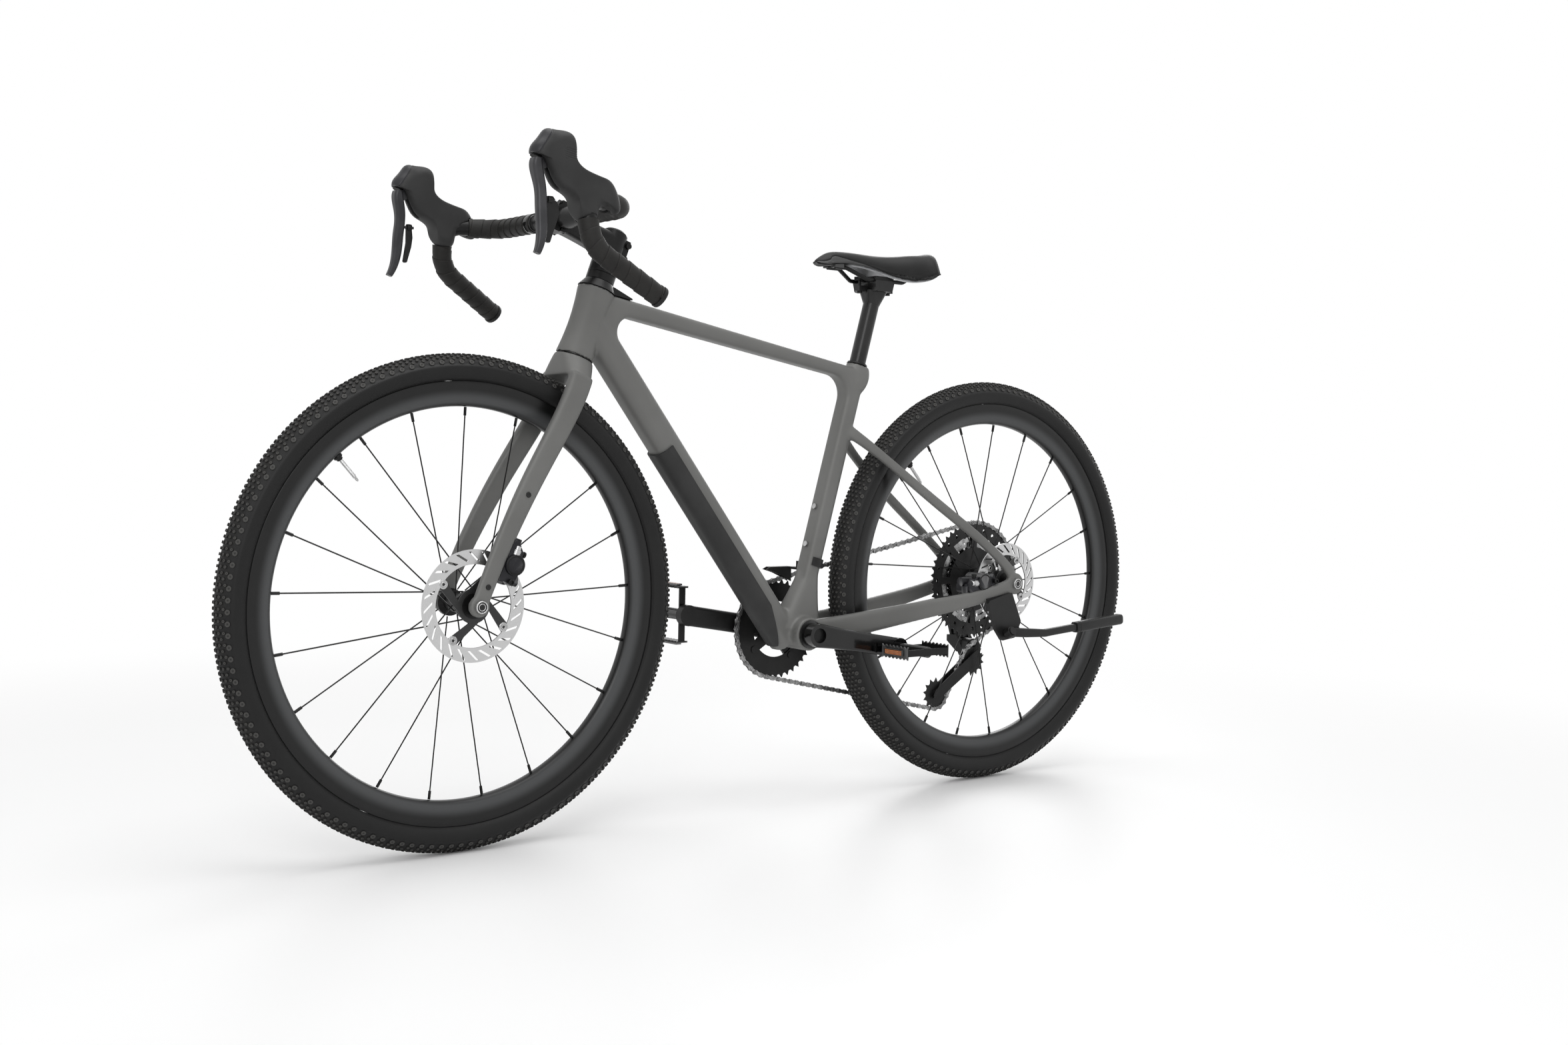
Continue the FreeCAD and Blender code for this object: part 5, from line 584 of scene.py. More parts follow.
def clean(item):
    """Removes faces without area and doubled corners."""
    work = bmesh.new()
    work.from_mesh(item.data)
    bmesh.ops.remove_doubles(work, verts=work.verts, dist=MERGE_REACH)
    bmesh.ops.dissolve_degenerate(work, edges=work.edges, dist=MERGE_REACH)
    work.to_mesh(item.data)
    work.free()


def applied(item):
    """Makes what an object's modifiers show its own mesh."""
    graph = bpy.context.evaluated_depsgraph_get()
    mesh = bpy.data.meshes.new_from_object(item.evaluated_get(graph))
    item.modifiers.clear()
    item.data = mesh
    return mesh


def softened(node, name, body, finish, voxel, rounds, adjust=None):
    """A copy of a solid with its edges and inner corners eased, which stands for that solid."""
    item = linked(name, frame["nodes"][node].data.copy())
    remesh = item.modifiers.new("Voxels", "REMESH")
    remesh.mode, remesh.voxel_size = "VOXEL", voxel
    ease = item.modifiers.new("Ease", "SMOOTH")
    ease.factor, ease.iterations = 0.5, rounds
    mesh = applied(item)
    if adjust:
        adjust(mesh)
    mesh.materials.clear()
    mesh.materials.append(FINISH[finish])
    mesh.shade_smooth()
    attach(item, body)
    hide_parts(node)
    return item


# Tyres with moulded knobs; angles are measured from the crown of the section
TYRE_HALF = 22.5 * MM
TYRE_MIDDLE = TYRE_RADIUS - TYRE_HALF
TREAD_DEPTH = 2.0 * MM
TREAD_EDGE, TREAD_END = math.radians(66), math.radians(82)
CASING_INSET = 0.2 * MM
CASING_SWEEP = range(-128, 129, 4)
CASING_FOOT = RIM_RADIUS + 2.5 * MM
LINER_SWEEP = range(-100, 101, 20)
LINER_RADIUS = 18.5 * MM
# The bead's corners in mm above the rim's edge and beside it
BEAD = ((1.2, 0.7), (0.3, -0.3), (0.3, -3))
KNOB_ROWS = (0, 9.5, 19, 28.5, 38, 47.5)
KNOBS_ROUND = 140
KNOB_RADIUS = 2.1 * MM
KNOB_SIDES = 8
KNOB_FOOT, KNOB_DISH = -1.0 * MM, 0.8 * MM
# Share of painted highlight on each ring of a knob: foot, side, top edge and dish
KNOB_HIGHLIGHT = (0, 0.15, 1, 0.8)
SHOULDER_ANGLE = 61
SHOULDER_RADIUS = 3.7 * MM
SHOULDER_HEIGHT = 1.2 * MM
SHOULDER_STRETCH = 1.1


def casing_radius(angle):
    """Distance of the casing from the middle of the tyre's section."""
    drop = min(1, max(0, (TREAD_END - abs(angle)) / (TREAD_END - TREAD_EDGE)))
    return TYRE_HALF - CASING_INSET - TREAD_DEPTH * drop * drop * (3 - 2 * drop)


def tyre_section():
    """The casing's outline from bead to bead over the crown, and back inside, as (radius, side)."""
    outside, inside = [], []
    for angle in map(math.radians, CASING_SWEEP):
        reach = casing_radius(angle)
        outside.append((TYRE_MIDDLE + reach * math.cos(angle), reach * math.sin(angle)))
    for angle in map(math.radians, LINER_SWEEP):
        inside.append((TYRE_MIDDLE + LINER_RADIUS * math.cos(angle), LINER_RADIUS * math.sin(angle)))
    outside = [(radius, side) for radius, side in outside if radius > CASING_FOOT]
    bead = [(RIM_RADIUS + rise * MM, RIM_HALF + out * MM) for rise, out in BEAD]
    return [(radius, -side) for radius, side in reversed(bead)] + outside + bead + inside[::-1]


def knob(spot, out, along, radius, height, stretch):
    """One round knob with a dished top and its foot sunk into the casing."""
    across = out.cross(along)
    rings = ((KNOB_FOOT, 1.12), (height - 0.35 * MM, 1.0), (height, 0.82), (height - 0.1 * MM, 0.5))
    corners = []
    for rise, share in rings:
        for step in range(KNOB_SIDES):
            turn = FULL_TURN * (step + 0.5) / KNOB_SIDES
            corners.append(spot + out * rise + turned(along * stretch, across, turn) * (radius * share))
    corners.append(spot + out * (height - KNOB_DISH))
    tip = len(rings) * KNOB_SIDES
    last = tip - KNOB_SIDES
    top = [(last + (step + 1) % KNOB_SIDES, last + step, tip) for step in range(KNOB_SIDES)]
    return corners, grid_faces(len(rings), KNOB_SIDES) + top


def add_tyre(wheel):
    """Casing turned round the axle, then knobs in staggered rows and a larger row on each shoulder."""
    centre = WHEELS[wheel]
    rows = [(side * value, (index % 2) / 2, KNOB_RADIUS, None, 1.0)
            for index, value in enumerate(KNOB_ROWS) for side in ((1, -1) if value else (1,))]
    rows += [(side * SHOULDER_ANGLE, 0.25, SHOULDER_RADIUS, SHOULDER_HEIGHT, SHOULDER_STRETCH)
             for side in (1, -1)]
    shapes = [hoop(centre, tyre_section())]
    for degrees, shift, radius, height, stretch in rows:
        lean = math.radians(degrees)
        reach = casing_radius(lean)
        for index in range(KNOBS_ROUND):
            angle = FULL_TURN * (index + shift) / KNOBS_ROUND
            ray, along = turned(FORE, UP, angle), turned(UP, -FORE, angle)
            out = turned(ray, LEFT, lean)
            spot = centre + ray * TYRE_MIDDLE + out * reach
            shapes.append(knob(spot, out, along, radius, height or TYRE_HALF - reach, stretch))
    item = add_piece(wheel + "_tyre_tread", gathered(shapes), wheel + "_wheel", wheel + "_tyre", 35)
    # Knob corners keep their share of painted highlight; the casing keeps none
    knob_share = [share for share in KNOB_HIGHLIGHT for _ in range(KNOB_SIDES)] + [0]
    marked(item.data, "wear_and_highlight", np.array([0] * len(shapes[0][0]) + knob_share * (len(shapes) - 1)))
    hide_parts(wheel + "_tyre")


# Handlebar tape: a strip wound with overlaps
BAR_RADIUS = 11.9 * MM
STRIP_BED = 1.9 * MM
STRIP_THICKNESS = 1.2 * MM
STRIP_PITCH = 19 * MM
WIND_STEPS = 40
BEND_STEPS = 24
# Any direction that no run of the bar follows
FIRST_CROSS = (0.3, 0.2, 0.9)


def turned_path(before, corner, after, radius):
    """Two straight runs joined by an arc, as points."""
    back, ahead = (before - corner).normalized(), (after - corner).normalized()
    half = back.angle(ahead) / 2
    reach = radius / math.tan(half)
    centre = corner + (back + ahead).normalized() * (radius / math.sin(half))
    first, last = corner + back * reach - centre, corner + ahead * reach - centre
    sweep = first.angle(last)
    arc = []
    for step in range(BEND_STEPS + 1):
        share = step / BEND_STEPS
        spoke = first * math.sin((1 - share) * sweep) + last * math.sin(share * sweep)
        arc.append(centre + spoke / math.sin(sweep))
    return [before] + arc + [after]


class Run:
    """A path that gives a place and two steady cross directions at any length along it."""

    def __init__(self, points):
        rough = np.array([tuple(point) for point in points])
        lengths = np.concatenate(([0], np.cumsum(np.linalg.norm(np.diff(rough, axis=0), axis=1))))
        self.length = float(lengths[-1])
        self.along = np.linspace(0, self.length, int(self.length / MM) + 2)
        self.line = np.stack([np.interp(self.along, lengths, rough[:, axis]) for axis in range(3)], 1)
        ahead = np.gradient(self.line, axis=0)
        ahead /= np.linalg.norm(ahead, axis=1, keepdims=True)
        side = np.zeros_like(ahead)
        last = np.cross(ahead[0], FIRST_CROSS)
        for index, way in enumerate(ahead):
            last = last - way * last.dot(way)
            last = last / np.linalg.norm(last)
            side[index] = last
        self.side, self.up = side, np.cross(ahead, side)

    def read(self, table, along):
        return Vector([float(np.interp(along, self.along, table[:, axis])) for axis in range(3)])

    def around(self, along, turn, radius):
        """A point beside the path, at a turn round it."""
        along = min(self.length, max(0, along))
        side, up = self.read(self.side, along), self.read(self.up, along)
        return self.read(self.line, along) + turned(side, up, turn) * radius


CLAMPED_HALF = 40 * MM


def clamped_bar_centre():
    """Middle of the handlebar where the stem holds it."""
    mesh = frame["nodes"]["handlebar"].data
    spots = [corner.co for corner in mesh.vertices if abs(corner.co.y) < CLAMPED_HALF]
    return Vector([(min(spot[axis] for spot in spots) + max(spot[axis] for spot in spots)) / 2
                   for axis in range(3)])


bar_centre = clamped_bar_centre()
bar_corner = bar_centre + LEFT * 182 * MM
bar_brow = bar_centre + Vector((80, 207, 0)) * MM
bar_hook = bar_centre + Vector((79, 218, -62)) * MM
bar_end = bar_centre + Vector((-20, 235, -124)) * MM
tape_start = bar_centre + LEFT * (66 * MM)
# Each run's start, corner, end and bend
TAPE_RUNS = (
    (tape_start, bar_corner, bar_corner.lerp(bar_brow, 0.56), 45 * MM),
    (bar_brow.lerp(bar_hook, 0.46), bar_hook, bar_end, 50 * MM),
)


def wound_strip(run):
    """A strip wound round a path: each turn lies with one edge on the turn before."""
    under, over = STRIP_BED, STRIP_BED + STRIP_THICKNESS
    section = ((0, under), (0.1 * MM, over - 0.5 * MM), (0.6 * MM, over - 0.1 * MM), (1.6 * MM, over),
               (STRIP_PITCH * 0.4, over - 0.35 * MM), (STRIP_PITCH * 0.75, under + 0.45 * MM),
               (STRIP_PITCH + 0.6 * MM, under + 0.1 * MM), (STRIP_PITCH + 2.5 * MM, under - 0.1 * MM),
               (STRIP_PITCH + 2.5 * MM, 0.05 * MM), (0, 0.05 * MM))
    steps = int((run.length / STRIP_PITCH + 1) * WIND_STEPS)
    corners = []
    for step in range(steps):
        turn = FULL_TURN * step / WIND_STEPS
        begin = STRIP_PITCH * (step / WIND_STEPS - 1)
        corners += [run.around(begin + offset, turn, BAR_RADIUS + rise) for offset, rise in section]
    return corners, grid_faces(steps, len(section))


def add_tape():
    """Both wound runs on each side, and the shiny band that holds the tape's end beside the stem."""
    strips = gathered([wound_strip(Run(turned_path(*run))) for run in TAPE_RUNS])
    wrap = add_piece("bar_tape_wrap", mirrored_pair(strips), "steering", "tape", 50)
    clean(wrap)
    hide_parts("bar_tape")
    bar = BAR_RADIUS / MM
    top = bar + STRIP_BED / MM + 0.9
    section = [(bar, -2), (bar + 0.4, -2), (top - 0.5, 0.5), (top, 3)]
    section += [(top + 0.25 * (index % 2), 5 + 2.2 * index) for index in range(5)]
    section += [(top - 0.8, 16)]
    band = lathe(section, tape_start, LEFT, 40)
    add_piece("tape_end_bands", mirrored_pair(band), "steering", "gloss", 50)


# Hoods: a front plate set off by a groove, and gripping ribs on the outer side of the neck; mm from the root
HOOD_ROOT = bar_centre + Vector((80, 206, 0)) * MM
PLATE_LOW, PLATE_HIGH = np.array((85, 53)), np.array((66, 81))
PLATE_REACH = 5.0
BORDER_DEPTH, BORDER_WIDTH = 1.1, 0.8
RIB_PITCH, RIB_DEPTH, RIB_SLOPE, RIB_MIDDLE = 2.9, 0.8, 0.18, 34
RIB_FORE, RIB_UP, RIB_OUT = (23, 27, 40, 45), (47, 48, 61.5, 62.5), (5, 9)
HEAD_MIDDLE = (53, 66)
HEAD_LEAN = math.radians(16)
HEAD_FILL, HEAD_UP, HEAD_REACH = 0.9, (-12, 4), (4, 14)


def hood_places(places):
    """How far corners lie before, above and outside the hood's root, in mm."""
    return ((places[:, 0] - HOOD_ROOT.x) / MM, (places[:, 2] - HOOD_ROOT.z) / MM,
            (np.abs(places[:, 1]) - HOOD_ROOT.y) / MM)


def square_head(mesh):
    """Fills out the corners of the hood's round head."""
    places = corners_of(mesh)[0]
    fore, up, out = hood_places(places)
    fore, up = fore - HEAD_MIDDLE[0], up - HEAD_MIDDLE[1]
    along, tall = turned(fore, up, HEAD_LEAN), turned(up, -fore, HEAD_LEAN)
    reach = np.maximum(np.hypot(along, tall), 1e-6)
    square = (np.abs(along / reach) ** 4 + np.abs(tall / reach) ** 4) ** -0.25
    grow = (square - 1) * HEAD_FILL * eased(up, *HEAD_UP) * eased(reach, *HEAD_REACH)
    places[:, 0] += fore * grow * MM
    places[:, 2] += up * grow * MM
    put_corners(mesh, places)


def carve_hood(mesh):
    """Squares the head, then presses in the plate's border and the ribs."""
    square_head(mesh)
    fore, up, out = hood_places(corners_of(mesh)[0])
    rise = (PLATE_HIGH - PLATE_LOW) / np.linalg.norm(PLATE_HIGH - PLATE_LOW)
    behind = (PLATE_LOW[0] - fore) * rise[1] + (up - PLATE_LOW[1]) * rise[0]
    border = BORDER_DEPTH * np.exp(-((behind - PLATE_REACH) / BORDER_WIDTH) ** 2)
    level = up - RIB_SLOPE * (fore - RIB_MIDDLE)
    ribs = RIB_DEPTH * np.clip(np.cos(level * FULL_TURN / RIB_PITCH), 0, 1)
    ribs = ribs * window(fore, *RIB_FORE) * window(up, *RIB_UP) * eased(out, *RIB_OUT)
    marked(mesh, "plate", 1 - eased(behind, PLATE_REACH - 0.5, PLATE_REACH + 0.5))
    pressed(mesh, (border + ribs) * MM)


# Saddle: foam under a tight cover, a panel at the nose and a seam along its edge. The tables run by the share
# of the length from the nose; heights and widths are in mm
SADDLE_LENGTH = 288 * MM
SADDLE_SHARE = (0, 0.03, 0.06, 0.1, 0.13, 0.17, 0.2, 0.25, 0.38, 0.53, 0.69, 0.84, 0.97, 1)
SADDLE_EDGE = (21, 20, 20.4, 20.9, 21.2, 21.6, 22, 21.7, 21, 10, 1, 12, 29, 33)
SEAM_RISE = (5, 5.4, 6, 8, 12.5, 14, 13, 11, 4.7, 2.4, 2.4, 2.4, 2.4, 2.4)
SADDLE_CREST = 53 * MM
WING_SHARE = (0, 0.03, 0.2, 0.38, 0.53, 0.69, 0.84, 0.97, 1)
WING_HALF = (9, 15, 19, 24, 36, 58, 71, 62, 52)
WING_RISE = (6, 12, 22, 24, 34, 45, 39, 24, 17)
FILL_STEPS = 20
FILL_PRESSURE = 4
FILL_START = 1.4 * MM
FILL_CAP = 2.6 * MM
REAR_DROP = 9 * MM
REAR_SHARE, REAR_RISE = (0.8, 0.98), (2, 17)
SEAM_WIDTH = 0.8
SEAM_DEPTH = 0.9 * MM
PANEL_TOP, PANEL_END = (-0.9, -0.3), (0.47, 0.5)
WING_START = (0.45, 0.75)
# How far up a face looks where the cover may swell, and where the top may rise
LOOSE_FACING, TOP_FACING = (-0.1, 0.3), (-0.1, 0.4)
NOSE_TRIM = 23 * MM
TAIL_TRIM = 20 * MM
TRIM_REACH = 70 * MM
TAIL_ROUND = 38 * MM
TAIL_DRAW = 0.8
RAIL_SEAT = 884 * MM
SOCKET_FRONT, SOCKET_BACK = -0.19, -0.32
SOCKET_WIDE = 36 * MM


def fill_cushion(item):
    """Lets the cover swell over its foam under a light pressure, held where it meets the shell."""
    mesh = item.data
    loose = eased(corners_of(mesh)[1][:, 2], *LOOSE_FACING)
    pressed(mesh, loose * FILL_START)
    held = item.vertex_groups.new(name="held")
    for corner, share in enumerate(1 - loose):
        held.add([corner], float(share), "REPLACE")
    cloth = item.modifiers.new("Cloth", "CLOTH")
    cloth.settings.use_pressure = True
    cloth.settings.uniform_pressure_force = FILL_PRESSURE
    cloth.settings.effector_weights.gravity = 0
    cloth.settings.vertex_group_mass = "held"
    for step in range(1, FILL_STEPS + 1):
        bpy.context.scene.frame_set(step)
    graph = bpy.context.evaluated_depsgraph_get()
    after = corners_of(item.evaluated_get(graph).to_mesh())[0]
    before = corners_of(mesh)[0]
    item.evaluated_get(graph).to_mesh_clear()
    item.modifiers.clear()
    item.vertex_groups.clear()
    bpy.context.scene.frame_set(1)
    way = after - before
    reach = np.linalg.norm(way, axis=1, keepdims=True)
    way *= np.minimum(1, FILL_CAP / np.maximum(reach, 1e-9))
    put_corners(mesh, before + way)


def saddle_places(mesh):
    """Places of the cushion's corners, their share of its length and their height above the rails in mm."""
    places = corners_of(mesh)[0]
    share = (places[:, 0].max() - places[:, 0]) / SADDLE_LENGTH
    return places, share, (places[:, 2] - places[:, 2].max() + SADDLE_CREST) / MM


def fill_rear(mesh):
    """Lets the padding hang lower at the back, where the cover wraps round it."""
    places, share, height = saddle_places(mesh)
    above = height - np.interp(share, SADDLE_SHARE, SADDLE_EDGE)
    places[:, 2] -= REAR_DROP * eased(share, *REAR_SHARE) * (1 - eased(above, *REAR_RISE))
    put_corners(mesh, places)


def sew_cushion(mesh):
    """Presses the seam in and marks the panel below it."""
    places, share, height = saddle_places(mesh)
    line = np.interp(share, SADDLE_SHARE, np.array(SADDLE_EDGE) + SEAM_RISE)
    above = height - line + REAR_DROP / MM * eased(share, *REAR_SHARE)
    seam = np.exp(-(above / SEAM_WIDTH) ** 2)
    marked(mesh, "seam", seam)
    marked(mesh, "panel", (1 - eased(above, *PANEL_TOP)) * (1 - eased(share, *PANEL_END)))
    pressed(mesh, seam * SEAM_DEPTH)


def flatten_top(mesh):
    """Turns the arched back of the saddle into a broad top with steep sides."""
    places, ways = corners_of(mesh)
    share = (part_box("saddle_cover")[1].x - places[:, 0]) / SADDLE_LENGTH
    out = np.minimum(np.abs(places[:, 1]) / (np.interp(share, WING_SHARE, WING_HALF) * MM), 1)
    lift = out ** 2 * (1 - out ** 2) * eased(ways[:, 2], *TOP_FACING) * eased(share, *WING_START)
    places[:, 2] += lift * np.interp(share, WING_SHARE, WING_RISE) * MM
    put_corners(mesh, places)


def trim_plan(mesh):
    """Draws the nose and the tail in, and rounds the tail off in plan."""
    low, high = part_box("saddle_cover")
    places = corners_of(mesh)[0]
    along = places[:, 0].copy()
    places[:, 0] -= NOSE_TRIM * eased(along, high.x - TRIM_REACH, high.x)
    places[:, 0] += TAIL_TRIM * eased(low.x + TRIM_REACH - along, 0, TRIM_REACH)
    near = np.clip((low.x + TAIL_TRIM + TAIL_ROUND - places[:, 0]) / TAIL_ROUND, 0, 1)
    places[:, 1] *= np.sqrt(1 - TAIL_DRAW * near ** 2)
    put_corners(mesh, places)


def add_saddle():
    """The cushion: eased, filled, divided once for the seam, then shaped."""
    item = softened("saddle_cover", "saddle_cushion", "frame", "saddle", voxel=2.4 * MM, rounds=6)
    fill_cushion(item)
    finer = item.modifiers.new("Finer", "SUBSURF")
    finer.levels = finer.render_levels = 1
    mesh = applied(item)
    for shape in (fill_rear, sew_cushion, flatten_top, trim_plan):
        shape(mesh)


def add_saddle_base():
    """The shell under the cushion, with the rails let into its underside."""
    mesh = frame["nodes"]["saddle_shell"].data
    places = corners_of(mesh)[0]
    along, wide = places[:, 0], np.abs(places[:, 1])
    socket = (along > SOCKET_FRONT) | ((along < SOCKET_BACK) & (wide < SOCKET_WIDE))
    places[:, 2] = np.where(socket, np.maximum(places[:, 2], RAIL_SEAT), places[:, 2])
    shape = places, [tuple(face.vertices) for face in mesh.polygons]
    item = add_piece("saddle_base", shape, "frame", "shell", 40)
    trim_plan(item.data)
    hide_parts("saddle_shell")


# Small turned pieces; their sections are (radius, height) pairs in mm
RIVET = ((0, -0.6), (2.0, -0.6), (2.1, 0.75), (2.5, 1.0), (3.7, 1.0), (4.1, 0.6), (4.2, 0.25), (6.3, 0.25),
         (6.7, -0.05), (6.7, -1.75), (6.3, -2.05), (4.2, -2.05), (4.0, -2.6), (0, -2.6))
RIVET_ANGLES = [math.radians(34 + 90 * index) for index in range(4)]
RIVET_INSET = 2 * MM
VALVE_NUT = ((2.9, -1), (6.0, -1), (6.2, 0.1), (6.6, 0.6), (6.6, 3.2), (6.0, 3.8), (5.0, 4.0), (4.6, 6.8),
             (4.0, 7.4), (2.9, 7.4))
VALVE_TIP = ((2.8, -3), (2.4, -2.6), (1.5, -2.4), (1.5, -1.2), (2.1, -1.0), (2.1, 2.2), (1.6, 2.8),
             (1.1, 3.0), (1.1, 4.2), (0, 4.2))
VALVE_RADIUS, THREAD_RADIUS = 2.8, 2.55
THREAD_START, THREAD_SPARE = 8, 12
VALVE_PROUD = 4 * MM
AXLE_RINGS = (((7.3, 0.02), (7.3, 0.7), (7.6, 1.0), (8.6, 1.0), (9.1, 0.5), (9.1, -3.0)),
              ((4.3, 0.02), (4.4, 0.6), (4.6, 0.8), (5.2, 0.8), (5.4, 0.6), (5.4, 0.02)))
# A flat dark disc under the rings: painted shade for the key hole and the gap between the rings
AXLE_HOLE_SHADE = ((0, 0.05), (8.0, 0.05), (8.0, -0.4))
FORK_PLUG = ((0, 0.15), (1.4, 0.2), (2.4, 0.75), (3.2, 0.95), (3.7, 0.7), (3.8, -0.6), (2.2, -1.2), (0, -1.2))
BOSS_CORNERS = 12


def add_rivets(wheel):
    """A silver lug and an eyelet where each arm of the carrier meets the brake ring."""
    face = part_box(wheel + "_rotor")[1].y
    shapes = [lathe(RIVET, spin(WHEELS[wheel], angle, RING[wheel] - RIVET_INSET, face), LEFT, 24)
              for angle in RIVET_ANGLES]
    add_piece(wheel + "_rotor_rivets", gathered(shapes), wheel + "_wheel", "steel", 30)


RIM_STEPS = 28
RIM_WELL, RIM_WALL = 7 * MM, 3 * MM
RIM_EDGE = 0.8 * MM
LIP_DROP, LIP_INSET = 0.2 * MM, 0.4 * MM
# Powers that round the section: its depth and its half width
BELLY_POWER, FLANK_POWER = 0.85, 0.7


def add_rim(wheel):
    """A hoop with a smooth deep belly, open towards the tyre."""
    well, hook = RIM_RADIUS - RIM_WELL, RIM_HALF - RIM_WALL
    lip, lip_half = RIM_RADIUS - LIP_DROP, RIM_HALF - LIP_INSET
    section = [(RIM_RADIUS, hook), (well, hook), (well, -hook), (RIM_RADIUS, -hook), (lip, -lip_half)]
    for step in range(RIM_STEPS + 1):
        turn = math.pi * step / RIM_STEPS
        wide, deep = -math.cos(turn), math.sin(turn)
        section.append((RIM_RADIUS - RIM_EDGE - (RIM_DEPTH - RIM_EDGE) * deep ** BELLY_POWER,
                        math.copysign(RIM_HALF * abs(wide) ** FLANK_POWER, wide)))
    section.append((lip, lip_half))
    shape = hoop(WHEELS[wheel], section)
    item = add_piece(wheel + "_rim_hoop", shape, wheel + "_wheel", "rim", 40)
    # Each corner's share of the rim's depth, from the tyre's edge to the nose, which places the finish's painted
    # highlight
    band = [(RIM_RADIUS - radius) / RIM_DEPTH for radius, side in section]
    marked(item.data, "band", np.array(band * HOOP_TURNS))
    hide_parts(wheel + "_rim")


def add_valve(wheel):
    """A thin threaded valve with its core, and the nut that holds it in the rim."""
    centre = WHEELS[wheel]
    corners = corners_of(frame["nodes"][wheel + "_rim"].data)[0] - np.array(centre)
    radii = np.hypot(corners[:, 0], corners[:, 2])
    tip = corners[radii < RIM_NOSE - VALVE_PROUD].mean(axis=0)
    angle = math.atan2(tip[2], tip[0])
    foot = spin(centre, angle, RIM_NOSE, 0)
    inward = -turned(FORE, UP, angle)
    nut = lathe(VALVE_NUT, foot, inward, 18)
    add_piece(wheel + "_valve_nut", nut, wheel + "_wheel", "satin", 30)
    reach = (RIM_NOSE - radii.min()) / MM
    section = [(0, -1.5), (VALVE_RADIUS, -1.5)]
    for index in range(int(reach - THREAD_SPARE)):
        level = THREAD_START + index
        section += [(VALVE_RADIUS, level), (THREAD_RADIUS, level + 0.5)]
    section += [(radius, reach + rise) for radius, rise in VALVE_TIP]
    stem = lathe(section, foot, inward, 16)
    add_piece(wheel + "_valve_stem", stem, wheel + "_wheel", "silver", 30)


def add_axle_end(wheel, body):
    """Two bright rings in the axle's left end over a dark disc, which is painted shade standing in for the key
    hole and the gap between the rings.
    """
    base = WHEELS[wheel].copy()
    base.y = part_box(wheel + "_axle")[1].y
    rings = gathered([lathe(ring, base, LEFT, 40) for ring in AXLE_RINGS])
    add_piece(wheel + "_axle_rings", rings, body, "silver", 30)
    # Dark disc under the rings as painted shade in the key hole and the gap
    add_piece(wheel + "_axle_hole_shade", lathe(AXLE_HOLE_SHADE, base, LEFT, 40), body, "gloss", 30)


def add_fork_plugs():
    """A dished plug in each threaded hole of the fork."""
    corners = corners_of(frame["nodes"]["fork"].data)[0]
    shapes = []
    for mount in frame["record"]["mounts"]:
        spot = Vector(mount["pos_m"])
        side = math.copysign(1, spot.y)
        flat = np.hypot(corners[:, 0] - spot.x, corners[:, 2] - spot.z)
        nearest = np.argsort(np.where(corners[:, 1] * side > 0, flat, 1))[:BOSS_CORNERS]
        spot.y = side * np.abs(corners[nearest, 1]).max()
        shapes.append(lathe(FORK_PLUG, spot, LEFT * side, 28))
    add_piece("fork_plugs", gathered(shapes), "steering", "plastic", 30)


# Pedal reflectors: a rim's rings as shares of the half width and half height with a rise in mm, and a net
REFLECTOR_HALF = 22 * MM
REFLECTOR_RISE = 5 * MM
REFLECTOR_SUNK = 0.6 * MM
REFLECTOR_RINGS = ((1.0, 1.0, -1.5), (1.0, 1.0, 1.0), (0.94, 0.8, 1.4), (0.92, 0.76, 0.9))
PRISM_COLUMNS, PRISM_ROWS = 12, 3
PRISM_FOOT, PRISM_TIP = 0.9 * MM, 0.7 * MM
SQUARE = ((-1, -1), (1, -1), (1, 1), (-1, 1))


def reflector(spot, out, up):
    """An amber lens on a pedal's edge: a rim round a net of little pyramids."""
    across = out.cross(up)

    def oblong(middle, wide, tall, rise):
        return [middle + across * (wide * u) + up * (tall * v) + out * rise for u, v in SQUARE]
    corners = []
    for wide, tall, rise in REFLECTOR_RINGS:
        corners += oblong(spot, REFLECTOR_HALF * wide, REFLECTOR_RISE * tall, rise * MM)
    shapes = [(corners, grid_faces(len(REFLECTOR_RINGS), len(SQUARE)))]
    # The net fills the innermost ring
    wide, tall = REFLECTOR_HALF * wide, REFLECTOR_RISE * tall
    pyramid = [(side, (side + 1) % 4, 4) for side in range(4)]
    for column in range(PRISM_COLUMNS):
        for row in range(PRISM_ROWS):
            middle = (spot + out * PRISM_FOOT + across * (wide * ((2 * column + 1) / PRISM_COLUMNS - 1))
                      + up * (tall * ((2 * row + 1) / PRISM_ROWS - 1)))
            foot = oblong(middle, wide / PRISM_COLUMNS, tall / PRISM_ROWS, 0)
            shapes.append((foot + [middle + out * PRISM_TIP], pyramid))
    return gathered(shapes)


def add_reflectors(side):
    """Lenses on the fore and aft edges of a pedal, which lies flat on the left and upright on the right."""
    pedal = "pedal_" + side
    low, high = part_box(pedal)
    middle = (low + high) / 2
    out, up = (FORE, UP) if side == "left" else (UP, -FORE)
    reach = (high - low).dot(out) / 2 - REFLECTOR_SUNK
    shapes = [reflector(middle + out * (reach * sign), out * sign, up) for sign in (1, -1)]
    item = add_piece("pedal_reflectors_" + side, gathered(shapes), pedal, "pedal", 20)
    item.data.materials.append(FINISH["amber"])
    for face in item.data.polygons:
        face.material_index = int(len(face.vertices) == 3)


# Chain: waisted plates, rollers and pin heads on every link
HALF_PITCH = 6.35 * MM
PLATE_END = 4.1 * MM
PLATE_WAIST = 2.5 * MM
WAIST_REACH = 2.6 * MM
WAIST_SWELL = 1.12
END_SWEEP = range(-80, 81, 20)
PLATE_EDGES = ((0.94, -0.5), (1, -0.3), (1, 0.3), (0.94, 0.5))
OUTER_PLATE, INNER_PLATE = 0.9 * MM, 0.8 * MM
